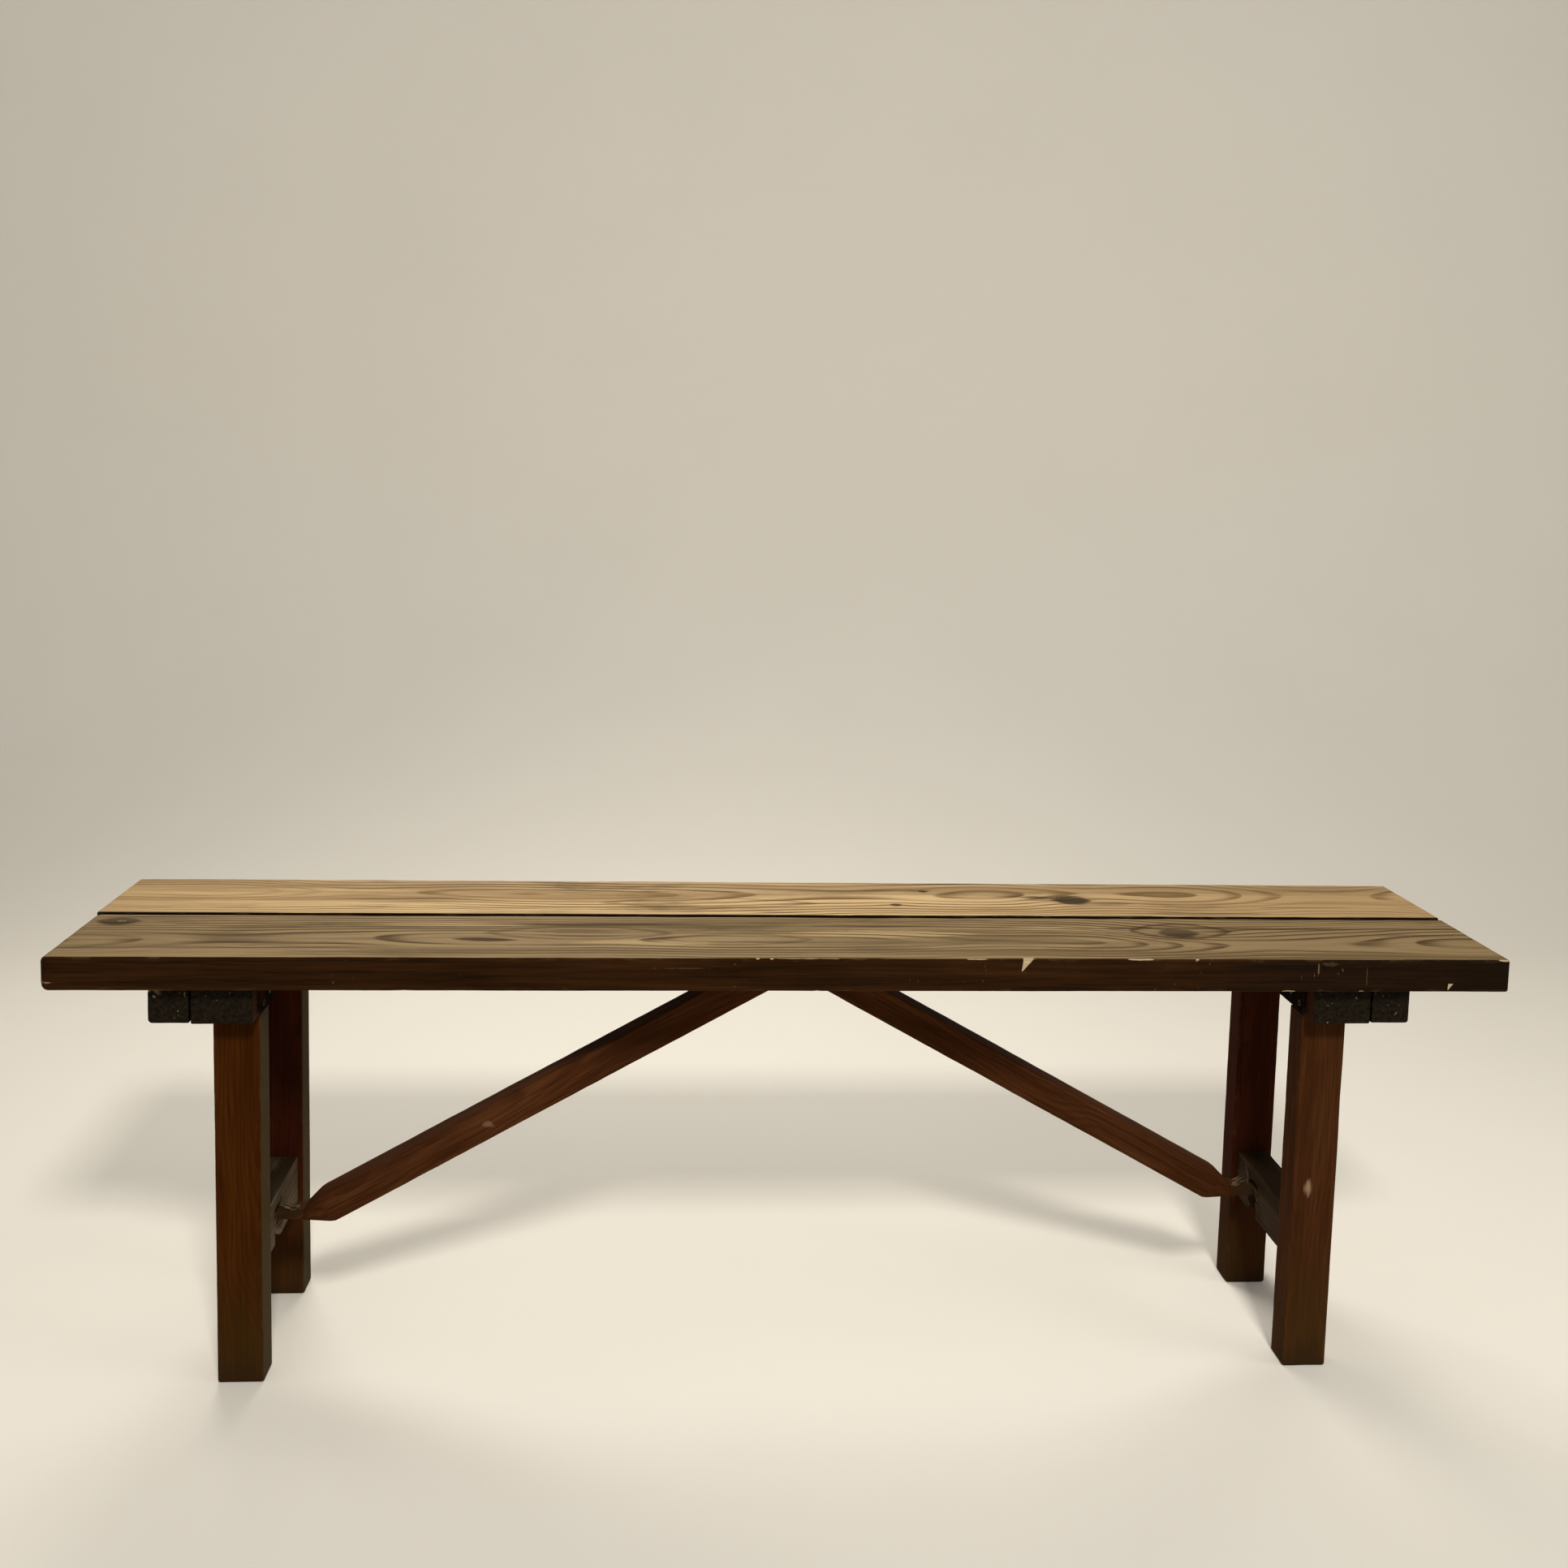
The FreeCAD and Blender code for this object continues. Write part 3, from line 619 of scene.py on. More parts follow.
    def edges(self, soot):
        """Colour of the stained edges and the underside; soot blackens the +X end."""
        shade = self.own("shade") * SHADE_WEIGHT + self.fibre * (1 - SHADE_WEIGHT)
        stain = self.ramp(shade, SHADE_PLACES, EDGE_STAIN)
        stain = self.lay(stain, self.normal[2], "below", self.ramp(self.grain, UNDER_PLACES, UNDER_STAIN))
        stain = self.lay(stain, self.x + self.swing("sooty", self.patch), "sooty", SOOT, soot)
        # Painted shade on the walls of the gap between the planks.
        stain = self.lay(stain, self.from_gap, "gap_wall", GAP_SHADE)
        rubbed = self.attribute("wear") * self.over(self.own("rub"), "rub")
        return self.mix(rubbed * RUB_SHARE, stain, RUBBED_EDGE)

    def torn(self, colour, flakes, scrapes_and_glint):
        """Colour with bare wood in chips and flakes, thinned where scraped at spots given as (place, half
        sizes, strength); one spot is a painted highlight on a knot.
        """
        bare = self.over(self.attribute("torn") + (self.blotch - 0.5), "bare")
        front = self.over(self.y, "front")
        for middle, half, lean, depth in flakes:
            x, y, z = self.parts_of(self.vector("SUBTRACT", self.place, middle))
            fall = z / half[1]
            width = self.most((fall * FLAKE_GROWTH + FLAKE_WIDTH) * half[0], FLAKE_LEAST)
            outside = self.most(abs(x - z * lean) / width, abs(fall)) + self.ragged * FLAKE_RAGGED
            bare = self.most(bare, self.over(outside, "in_flake") * front)
        colour = self.mix(bare, colour, self.mix(self.fibre, BARE_LOW, BARE_HIGH))
        for middle, half, strength in scrapes_and_glint:
            away = self.distance(middle, half) + self.swing("scrape", self.fleck)
            colour = self.lay(colour, away, "scraped", BARE_LOW, strength)
        return colour


def pine(name, offset, heart, knots, loops, smears, colours, dull, soot=0.0, flames=(), flakes=(),
         scrapes_and_glint=()):
    """Material of a seat plank, from the values that Pine's methods explain."""
    wood = Pine(name, offset, heart, knots)
    side = wood.over(wood.normal[2] + wood.swing("side", wood.blotch), "side")
    colour = wood.mix(side, wood.top(colours, dull, loops, flames, smears), wood.edges(soot))
    flecks = wood.over(wood.fleck, "fleck") * wood.over(wood.own("rare"), "rare")
    colour = wood.mix(flecks * side * FLECK_SHARE, colour, FLECK_PALE)
    colour = wood.torn(colour, flakes, scrapes_and_glint)
    rough = wood.patch * PATCH_ROUGH + PINE_ROUGH
    height = wood.late * LATE_BUMP + wood.fibre * FIBRE_BUMP - wood.streaks * STREAK_BUMP
    return wood.finish(colour, rough, specular=0.02, height=height, depth=0.35 * MM)


SCUFF = linear(140, 112, 84)
FLOOR_DIRT = linear(30, 24, 17)
RUBBED_STAIN = linear(86, 58, 33)
TORN_STAIN = linear(120, 96, 66)
TONGUE_DIRT = linear(44, 34, 20)
# Painted shade colour for faces that look up.
TOP_SHADE = linear(30, 20, 9)
# Painted shade colour for the seam between cleat and rail.
SEAM_SHADE = linear(4, 3, 2)
# Painted sheen colour: faces that look along +X greyed as if they reflected a bright room.
SIDE_SHEEN = linear(66, 56, 36)
PAINT = (linear(11, 9, 6), linear(38, 31, 22))
PAINT_PLACES = (0.3, 0.75)
PAINT_FLAKE = linear(132, 120, 98)

# Rings to a metre across and up the section, and how far noise bends them.
RINGS_ACROSS = 150.0
RINGS_UP = 110.0
RING_BEND = 15.0
CLOUD_TONE = 0.75
FIBRE_TONE = 0.45
LATE_TONE = 0.10
TONE_PLACES = (0.22, 0.52, 0.85)
STAIN_RUB = 0.4
STAIN_ROUGH = 0.55
CLOUD_ROUGH = 0.25
STAIN_FIBRE_BUMP = 0.6
STAIN_LATE_BUMP = 0.3


class Stain(Shader):
    """Framing wood under an old dark stain."""

    fields = {
        "fibre": ((14.0, 520.0, 520.0), 3.0, 0.6), "bend": ((3.0, 14.0, 14.0), 2.0),
        "cloud": ((5.0, 34.0, 34.0), 4.0, 0.6), "speck": ((60.0, 260.0, 260.0), 3.0),
        "grit": (260.0, 3.0, 0.7), "flake": (130.0, 3.0, 0.6),
    }
    swings = {"foot": 0.10, "scuff": 2.2}
    steps = {
        "late": (0.35, 0.85), "ring_end": (0.90, 1.0), "cloudy": (0.30, 0.62), "foot": (0.17, 0.0, 0.6),
        "floor": (0.035, 0.0, 0.35), "rub": (0.44, 0.66), "flake": (0.69, 0.71), "facing": (0.6, 0.85),
        "clear": (0.72, 0.48), "scuff": (1.4, 0.5, 1.0), "torn": (0.5, 0.7),
    }


def stained(name, along, tones, offset, foot=None, painted_ends=False, scuffs_and_shade=(), top_shade=0.0, painted_sheen=0.0):
    """Stained framing with its grain along one direction.

    tones are low, middle and high in sRGB.  foot is a colour that the stain fades to near the floor; the next
    two arguments give how far faces that look up are darkened with painted shade, and how far those that look
    along +X are greyed with a painted sheen.
    Scuffs are (place, half size, strength, colour); the seam between cleat and rail comes among them as
    painted shade.
    """
    wood = Stain(name)
    turn = Vector(along).normalized().rotation_difference(Vector(WAYS[X])).to_euler()
    moved = wood.vector("ADD", wood.place, offset)
    turned = wood.add("ShaderNodeVectorRotate", {"Vector": moved, "Rotation": turn},
                      rotation_type="EULER_XYZ").outputs[0]
    fibre, bend, cloud, speck = (wood.field(key, turned) for key in ("fibre", "bend", "cloud", "speck"))
    across, up = wood.parts_of(turned)[1:]
    rings = across * RINGS_ACROSS + (up * RINGS_UP + bend * RING_BEND)
    late = wood.late_wood(rings) * wood.over(cloud, "cloudy")
    tone = cloud * CLOUD_TONE + fibre * FIBRE_TONE - late * LATE_TONE
    colour = wood.ramp(tone, TONE_PLACES, [linear(*brown) for brown in tones])
    if foot is not None:
        height = wood.parts_of(wood.place)[2] + wood.swing("foot", cloud)
        colour = wood.lay(colour, height, "foot", foot)
        colour = wood.lay(colour, height, "floor", FLOOR_DIRT)
    rubbed = wood.attribute("wear") * wood.over(speck, "rub")
    colour = wood.mix(rubbed * STAIN_RUB, colour, RUBBED_STAIN)
    if painted_ends:
        paint = wood.ramp(wood.field("grit", wood.place), PAINT_PLACES, PAINT)
        paint = wood.mix(wood.over(wood.field("flake", wood.place), "flake"), paint, PAINT_FLAKE)
        colour = wood.mix(wood.attribute("end"), colour, paint)
    # Painted shade: faces that look up are darkened in patches where the cloud is clear.
    if top_shade:
        shaded_top = wood.over(wood.normal[2], "facing") * wood.over(cloud, "clear")
        colour = wood.mix(shaded_top * top_shade, colour, TOP_SHADE)
    # Painted sheen: faces that look along +X are greyed as if they reflected a bright room.
    if painted_sheen:
        colour = wood.mix(wood.over(wood.normal[0], "facing") * painted_sheen, colour, SIDE_SHEEN)
    for spot, half, strength, tint in scuffs_and_shade:
        away = wood.distance(spot, half) + wood.swing("scuff", speck)
        colour = wood.lay(colour, away, "scuff", tint, strength)
    colour = wood.mix(wood.over(wood.attribute("torn"), "torn"), colour, TORN_STAIN)
    height = fibre * STAIN_FIBRE_BUMP - late * STAIN_LATE_BUMP
    rough = cloud * CLOUD_ROUGH + STAIN_ROUGH
    return wood.finish(colour, rough, specular=0.012, height=height, depth=0.25 * MM)


MOTTLE = (90.0, 4.0, 0.65)
RUST_PATCH = (34.0, 5.0, 0.68)
RUST_EDGE = (0.62, 0.72)
IRON_PLACES = (0.3, 0.75)
IRON_ROUGH = 0.55
RUST_ROUGH = 0.3


def steel(name, low, high, rust, amount):
    """Blackened iron, worn dull, with more rust the larger the amount."""
    iron = Shader(name)
    mottle = iron.noise(iron.place, *MOTTLE)
    rusty = iron.ease(iron.noise(iron.place, *RUST_PATCH), RUST_EDGE[0] - amount, RUST_EDGE[1] - amount)
    colour = iron.mix(rusty, iron.ramp(mottle, IRON_PLACES, (low, high)), rust)
    rough = rusty * RUST_ROUGH + IRON_ROUGH
    return iron.finish(colour, rough, specular=0.0, height=mottle, depth=0.15 * MM)


# Looks of the two planks: pale, deep and smudge colours, then the marks on each.
FRONT_COLOURS = (linear(145, 122, 87), linear(62, 45, 26), linear(92, 75, 49))
REAR_COLOURS = (linear(202, 172, 125), linear(92, 65, 35), linear(133, 106, 70))


def marks(*rows):
    """Marks on a plank's top, their x, y, half length and half width turned from mm to metres."""
    return [(*(length * MM for length in row[:4]), *row[4:]) for row in rows]


FRONT_KNOTS = marks((-714, -27, 24, 13, 1.2, 0.35), (424, -57, 23, 16, 2.2, 0.25))
FRONT_LOOPS = marks((428, -49, 60, 28, 0.75), (-226, -64, 105, 24, 0.45), (-60, -85, 85, 20, 0.4))
FRONT_SMEARS = marks((-228, -58, 58, 12, 0.45), (470, -49, 30, 5, 0.45), (-560, -45, 70, 6, 0.35),
                     (80, -35, 90, 5, 0.55), (200, -85, 70, 5, 0.45), (-10, -94, 60, 5, 0.45))
FRONT_FLAMES = marks((95, -64, 130, 17, 0.75), (300, -40, 80, 10, 0.55), (-360, -34, 100, 12, 0.65),
                     (-160, -100, 90, 12, 0.6))
REAR_KNOTS = marks((338, 75, 25, 18, 0.8, 0.75), (168, 111, 7, 5, 0.4, 0.6), (128, 52, 8, 5, 0.4, 0.6))
REAR_LOOPS = marks((-85, 56, 130, 20, 0.5))
REAR_SMEARS = marks((0, 128, 1200, 42, 0.3), (304, 86, 34, 8, 0.85), (378, 60, 36, 9, 0.55),
                    (255, 92, 60, 4, 0.45), (-150, 105, 22, 4, 0.55), (-60, 104, 18, 4, 0.45),
                    (480, 20, 120, 5, 0.55))
FRONT_FLAKES = [((0.2345, FRONT_FACE, 0.4655), (0.0054, 0.0068), 0.5, 1.0 * MM),
                ((0.6845, FRONT_FACE, 0.4425), (0.0024, 0.0032), 0.4, 0.4 * MM)]
FRONT_SCRAPES_AND_GLINT = [((0.543, FRONT_FACE, 0.461), (0.0009, 0.004, 0.009), 0.5),
                 ((0.556, FRONT_FACE, 0.4665), (0.011, 0.004, 0.0022), 0.16),
                 ((0.595, FRONT_FACE, 0.454), (0.0005, 0.004, 0.008), 0.25),
                 ((-0.743, FRONT_FACE, 0.445), (0.007, 0.012, 0.0008), 1.0),
                 ((-0.118, FRONT_FACE, 0.461), (0.03, 0.004, 0.0006), 0.2),
                 # Painted highlight: a pale speck on the eye of the left knot.
                 ((-0.712, -0.026, 0.472), (0.005, 0.003, 0.004), 0.8),
                 ((-0.294, -0.108, 0.472), (0.0018, 0.0018, 0.004), 0.9)]

front_pine = pine("front_pine", offset=(3.1, 0.0, 0.7), heart=(-0.085, 0.045), knots=FRONT_KNOTS,
                  loops=FRONT_LOOPS, smears=FRONT_SMEARS, colours=FRONT_COLOURS, dull=0.25, soot=0.75,
                  flames=FRONT_FLAMES, flakes=FRONT_FLAKES, scrapes_and_glint=FRONT_SCRAPES_AND_GLINT)
rear_pine = pine("rear_pine", offset=(7.4, 0.3, 0.2), heart=(0.095, 0.055), knots=REAR_KNOTS,
                 loops=REAR_LOOPS, smears=REAR_SMEARS, colours=REAR_COLOURS, dull=0.6)

FOOT = linear(54, 39, 15)
BROWNS = {
    "left_front": ((28, 11, 2), (50, 23, 3), (72, 37, 8)),
    "right_front": ((32, 15, 5), (56, 30, 12), (78, 47, 23)),
    # Painted shade: the rear legs take darker browns than the front legs.
    "rear": ((24, 8, 3), (42, 15, 5), (62, 27, 10)),
    "brace": ((30, 14, 6), (56, 29, 12), (86, 52, 28)),
    "cleat": ((20, 11, 5), (32, 18, 8), (50, 31, 16)),
    "top_rail": ((26, 12, 4), (42, 21, 8), (60, 34, 16)),
    # Painted light: the left stretcher takes pale grey browns as a painted sheen, the right one darker browns
    # as painted shade; they are one wood.
    "left_stretcher": ((38, 28, 18), (70, 57, 42), (114, 101, 84)),
    "right_stretcher": ((20, 13, 7), (40, 29, 18), (66, 52, 38)),
}
metal = steel("dull_steel", linear(15, 10, 6), linear(32, 23, 15), linear(42, 25, 14), amount=0.10)
screw_metal = steel("screw_steel", linear(48, 45, 41), linear(96, 89, 80), linear(64, 40, 24), amount=0.04)


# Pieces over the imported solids.  Corners of a section are numbered as in section_loop.

LOW_LOW, HIGH_LOW, HIGH_HIGH, LOW_HIGH = range(4)


def sweep(node, axis, material, seed, arris, rounds, parts, step, ends=None, chips=(), flakes=()):
    """Wood swept along one axis through its solid's box, or between other ends."""
    low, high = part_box(node)
    a, b = (other for other in (X, Y, Z) if other != axis)
    wood = Timber(WAYS[axis], WAYS[a], WAYS[b], seed, arris, parts, step)
    start, end = ends or (low[axis], high[axis])
    section = (low[a], high[a], low[b], high[b])
    return wood.build(node + "_wood", material, start, end, lambda place: section, *rounds, chips, flakes)


def chipped(corner, *rows):
    """Chips in one arris; place, half length and extra radius are given in mm, then the paleness."""
    return [(corner, *(length * MM for length in row[:3]), row[3]) for row in rows]


PLANK_ARRIS = (1.6 * MM, 1.6 * MM, 2.4 * MM, 1.8 * MM)
FRONT_CHIPS = chipped(LOW_HIGH, (237, 6, 1.4, 0.8), (354, 19, 0.5, 0.85), (414, 3, 0.8, 0.8),
                      (10, 50, 0.3, 0.7), (-27, 3, 0.8, 0.8), (-41, 3, 0.8, 0.8), (184, 16, 0.3, 0.6),
                      (545, 10, 0.3, 0.4), (620, 30, 0.3, 0.5), (744, 10, 3.0, 0.7))
FRONT_CHIPS += chipped(LOW_LOW, (20, 5, 0.8, 0.6), (512, 10, 0.7, 0.8), (-395, 12, 1.0, 0.2),
                       (590, 4, 0.7, 0.7))
REAR_CHIPS = chipped(LOW_HIGH, (60, 30, 1.5, 0.1), (-350, 50, 1.2, 0.1), (620, 40, 1.6, 0.0))
REAR_CHIPS += chipped(HIGH_HIGH, (400, 30, 1.4, 0.4))
FRONT_ROUNDS = ((10 * MM, 9 * MM), (5 * MM, 4 * MM))
REAR_ROUNDS = ((6 * MM, 3 * MM), (4 * MM, 3 * MM))


def make_plank(node, material, seed, rounds, chips, flakes):
    """Seat plank with wavering arrises."""
    piece = sweep(node, X, material, seed, PLANK_ARRIS, rounds, parts=(18, 11), step=8 * MM,
                  chips=chips, flakes=flakes)
    attach(piece, "seat", node)


make_plank("front_plank", front_pine, seed=101, rounds=FRONT_ROUNDS, chips=FRONT_CHIPS, flakes=FRONT_FLAKES)
make_plank("rear_plank", rear_pine, seed=202, rounds=REAR_ROUNDS, chips=REAR_CHIPS, flakes=())

BATTEN_ARRIS = (2.4 * MM, 2.4 * MM, 0.9 * MM, 0.9 * MM)
BATTEN_ROUNDS = ((1.2 * MM, 1.2 * MM),) * 2
BATTEN_CHIPS = {
    "left_cleat": chipped(LOW_HIGH, (-134, 14, 8.0, 1.0)) + chipped(LOW_LOW, (-134, 6, 2.0, 0.3)),
    "left_top_rail": chipped(HIGH_HIGH, (-134, 18, 9.0, 0.0)) + chipped(HIGH_LOW, (-134, 10, 3.0, 0.0)),
    "right_cleat": chipped(HIGH_LOW, (-134, 6, 1.5, 0.4)),
}
SEAM_HALF = (1.0 * MM, 9 * MM, 40 * MM)
SEAM_SHARE = 0.9


def make_batten(side, kind, body, seed, offset):
    """Cleat or top rail, with dark paint on its end grain and painted shade in the seam between the two."""
    node = f"{side}_{kind}"
    low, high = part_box(node)
    inner, outer = sorted((low.x, high.x), key=abs)
    seam_x = inner if body == "seat" else outer
    # Painted shade: a near-black band on the front end, down the seam between cleat and rail.
    seam = ((seam_x, low.y, 0.5 * (low.z + high.z)), SEAM_HALF, SEAM_SHARE, SEAM_SHADE)
    material = stained(node + "_stain", WAYS[Y], BROWNS[kind], offset, painted_ends=True, scuffs_and_shade=[seam])
    piece = sweep(node, Y, material, seed, BATTEN_ARRIS, BATTEN_ROUNDS, parts=(6, 5), step=9 * MM,
                  chips=BATTEN_CHIPS.get(node, ()))
    attach(piece, body, node)


FRAME_ARRIS = (2.2 * MM,) * 4
LEG_ROUNDS = ((3 * MM, 2.5 * MM), (0.4 * MM, 0.4 * MM))
LEG_SCUFF = (0.5640, 0.204)
LEG_SCUFF_HALF = (0.0036, 0.004, 0.0075)
LEG_SCUFF_SHARE = 0.8
# Painted sheen on the inner faces of the left legs, which look along +X; the right legs get none.
LEG_SHEEN = {"left": 0.75, "right": 0.0}


def make_leg(side, end, seed):
    """Leg from the floor to its rail, its foot worn round."""
    node = f"{side}_{end}_leg"
    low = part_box(node)[0]
    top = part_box(f"{side}_top_rail")[0].z
    # The rear legs take the darker browns that paint shade.
    browns = BROWNS[f"{side}_front"] if end == "front" else BROWNS["rear"]
    scuffs_and_shade = []
    if node == "right_front_leg":
        place = (LEG_SCUFF[0], low.y, LEG_SCUFF[1])
        scuffs_and_shade.append((place, LEG_SCUFF_HALF, LEG_SCUFF_SHARE, SCUFF))
    offset = (seed * 0.37, seed * 0.11, 0.0)
    material = stained(node + "_stain", WAYS[Z], browns, offset, FOOT, scuffs_and_shade=scuffs_and_shade, painted_sheen=LEG_SHEEN[side])
    piece = sweep(node, Z, material, seed, FRAME_ARRIS, LEG_ROUNDS, parts=(5, 4), step=9 * MM,
                  ends=(low.z, top))
    attach(piece, f"{side}_leg_frame", node)


STRETCHER_ROUNDS = ((0.3 * MM, 0.3 * MM),) * 2
NOTCH_ARRIS = (0.8 * MM,) * 4
NOTCH_HOLLOW = -0.7 * MM
NOTCH_WIDTH = 25 * MM
NOTCH_GAP = 1.5 * MM
NOTCH_RISE = 12 * MM
NOTCH_PAST = 10 * MM


def make_stretcher(side, seed):
    """Stretcher between its legs, with the brace's notch cut up from below."""
    node = f"{side}_stretcher"
    low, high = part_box(node)
    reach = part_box(f"{side}_rear_leg")[0].y
    # The stretcher's top is darkened with painted shade.
    material = stained(node + "_stain", WAYS[Y], BROWNS[node], offset=(seed * 0.21, 0.4, 0.1),
                       top_shade=0.85)
    piece = sweep(node, Y, material, seed, FRAME_ARRIS, STRETCHER_ROUNDS, parts=(5, 6), step=7 * MM,
                  ends=(-reach, reach))
    tip_low, tip_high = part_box(f"{side}_brace")
    sign = SIDES[side]
    middle = 0.5 * (tip_low.y + tip_high.y)
    half = NOTCH_WIDTH / 2
    inner = low.x if sign > 0 else high.x
    deep = sign * (max(abs(tip_low.x), abs(tip_high.x)) + NOTCH_GAP)
    notch = Timber(WAYS[Z], (sign, 0, 0), WAYS[Y], seed + 5, NOTCH_ARRIS, parts=(3, 4), step=5 * MM,
                   hollow=NOTCH_HOLLOW)
    opening = (sign * inner - NOTCH_PAST, sign * deep, middle - half, middle + half)
    cutter = notch.build("notch", material, low.z - NOTCH_PAST, tip_low.z + NOTCH_RISE, lambda place: opening)
    combine(piece, cutter, "DIFFERENCE")
    attach(piece, f"{side}_leg_frame", node)


BRACE_ARRIS = (2.4 * MM,) * 4
BRACE_HALF = 16.75 * MM
BRACE_AIM = 16 * MM
BRACE_ROUNDS = ((0.5 * MM, 0.1 * MM), (0.5 * MM, 0.2 * MM))
BRACE_LEAST = 2 * MM
BRACE_SHORT = 1.5 * MM
BRACE_SCUFFS = {"left": [((-0.3235, -0.037, 0.250), (0.005, 0.01, 0.003), 0.35, SCUFF)], "right": []}
SHOULDER_REACH = 46 * MM
SHOULDER_LEAD = 4 * MM
TONGUE_ARRIS = (0.7 * MM,) * 4
TONGUE_REACH = 30 * MM
TONGUE_WIDTH = 22 * MM
TONGUE_COVER = 0.55
TONGUE_ROOT = 12.5 * MM
TONGUE_TIP = 6 * MM
TONGUE_TAPER = 3.5 * MM
TONGUE_WANDER = 1.5 * MM
TONGUE_WAVE = 0.014
TONGUE_LIFT = 0.05 * MM
TONGUE_ROUNDS = ((0.5 * MM, 0.5 * MM), (0.8 * MM, 0.8 * MM))
DIRT_HALF = (0.035, 0.05, 0.05)
DIRT_SHARE = 0.8


def make_brace(side, seed):
    """Brace swept down its own length, with a rounded head, bevelled shoulder and flat tongue."""
    node = f"{side}_brace"
    sign = SIDES[side]
    low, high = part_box(node)
    bolt_low, bolt_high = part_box(f"{side}_brace_bolt")
    pivot = 0.5 * (bolt_low + bolt_high)
    pivot_x = abs(pivot.x)
    tip_x = max(abs(low.x), abs(high.x))
    face_x = min(abs(corner.x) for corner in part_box(f"{side}_stretcher"))
    slope = (pivot.z - low.z + BRACE_AIM) / (face_x - pivot_x)
    secant = math.hypot(1, slope)
    along = (1 / secant, -slope / secant)
    across = (slope / secant, 1 / secant)

    def local(x, z):
        """Place along and across the brace of a point in the end's own plane."""
        dx, dz = x - pivot_x, z - pivot.z
        return dx * along[0] + dz * along[1], dx * across[0] + dz * across[1]

    heel_x = pivot_x + (pivot.z - low.z - BRACE_HALF * secant) / slope
    shoulder_x = face_x - SHOULDER_REACH
    shoulder_z = pivot.z + BRACE_HALF * secant - slope * (shoulder_x - pivot_x)
    root_x = face_x - TONGUE_REACH
    lower = [local(heel_x, low.z), local(root_x, low.z)]
    upper = [local(shoulder_x, shoulder_z), local(root_x, low.z + TONGUE_ROOT), local(root_x, low.z)]
    end = lower[1][0] - BRACE_SHORT
    cheek = 0.5 * (high.y - low.y) - TONGUE_COVER * TONGUE_WIDTH

    def section(place):
        if place < 0:
            half = math.sqrt(max(BRACE_HALF ** 2 - place ** 2, BRACE_LEAST ** 2))
            return low.y, high.y, -half, half
        bottom = np.interp(place, *zip(*lower))
        top = np.interp(place, *zip(*upper))
        thin = np.interp(place, [upper[0][0] - SHOULDER_LEAD, end], [0.0, cheek])
        return low.y + thin, high.y - thin, bottom, max(top, bottom + BRACE_LEAST)

    direction = (sign * along[0], 0.0, along[1])
    upward = (sign * across[0], 0.0, across[1])
    middle = 0.5 * (low.y + high.y)
    dirt = ((sign * tip_x, middle, low.z), DIRT_HALF, DIRT_SHARE, TONGUE_DIRT)
    material = stained(node + "_stain", direction, BROWNS["brace"], offset=(seed * 0.13, 0.2, seed * 0.05),
                       scuffs_and_shade=BRACE_SCUFFS[side] + [dirt])
    wood = Timber(direction, WAYS[Y], upward, seed, BRACE_ARRIS, parts=(5, 5), step=6 * MM,
                  origin=(pivot.x, 0, pivot.z))
    piece = wood.build(node + "_wood", material, -BRACE_HALF, end, section, *BRACE_ROUNDS)
    half = TONGUE_WIDTH / 2

    def tongue_section(place):
        height = np.interp(place, [root_x, tip_x], [TONGUE_ROOT, TONGUE_TIP])
        thin = np.interp(place, [root_x, tip_x], [0.0, TONGUE_TAPER])
        centre = middle + TONGUE_WANDER * ripple([[place, 0, 0]], TONGUE_WAVE, seed + 7)[0]
        return centre - half + thin, centre + half - thin, low.z + TONGUE_LIFT, low.z + height

    tongue = Timber((sign, 0, 0), WAYS[Y], WAYS[Z], seed + 3, TONGUE_ARRIS, parts=(5, 3), step=4 * MM)
    lap = tongue.build("tongue", material, shoulder_x, tip_x, tongue_section, *TONGUE_ROUNDS)
    combine(piece, lap, "UNION")
    attach(piece, node, node)


for number, side in enumerate(SIDES):
    make_batten(side, "cleat", "seat", seed=310 + number, offset=(0.3 + number, 0.9, 0.1))
    make_batten(side, "top_rail", f"{side}_leg_frame", seed=330 + number, offset=(1.7 + number, 0.2, 0.5))
    for order, end in enumerate(ENDS):
        make_leg(side, end, seed=350 + 10 * number + order)
    make_stretcher(side, seed=390 + number)
    make_brace(side, seed=410 + number)

for name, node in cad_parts.items():
    if any(word in name for word in ("hinge", "bolt", "bracket")):
        node.data.materials.clear()
        node.data.materials.append(metal)


# Torn fibres where each tongue is forced into its stretcher

SLIVER_ROWS = 5
SLIVER_TAPER = 0.9
SLIVER_SECTION = ((1, 0.35), (-1, 0.5), (-1, -0.35), (1, -0.5))


def sliver(start, end, width, lift, rng, points, faces):
    """Add one splinter: a bent strip, thick at its root and fine at its tip."""
    start, end = Vector(start), Vector(end)
    length = end - start
    side = length.orthogonal().normalized()
    side.rotate(Matrix.Rotation(rng.uniform(0, math.pi), 3, length))
    other = length.normalized().cross(side)
    faces += rings_faces(len(points), SLIVER_ROWS, len(SLIVER_SECTION))
    for k in range(SLIVER_ROWS):
        share = k / (SLIVER_ROWS - 1)
        centre = start + share * length + lift * share * share * Vector(WAYS[Z])
        half = 0.5 * width * (1 - SLIVER_TAPER * share)
        for u, v in SLIVER_SECTION:
            points.append(tuple(centre + half * (u * side + v * other)))


RAW_STRETCH = (90.0, 500.0, 500.0)
RAW_COLOURS = (linear(50, 36, 22), linear(116, 94, 64))
RAW_PLACES = (0.3, 0.72)
RAW_ROUGH = 0.6
FIBRE_ROUGH = 0.3


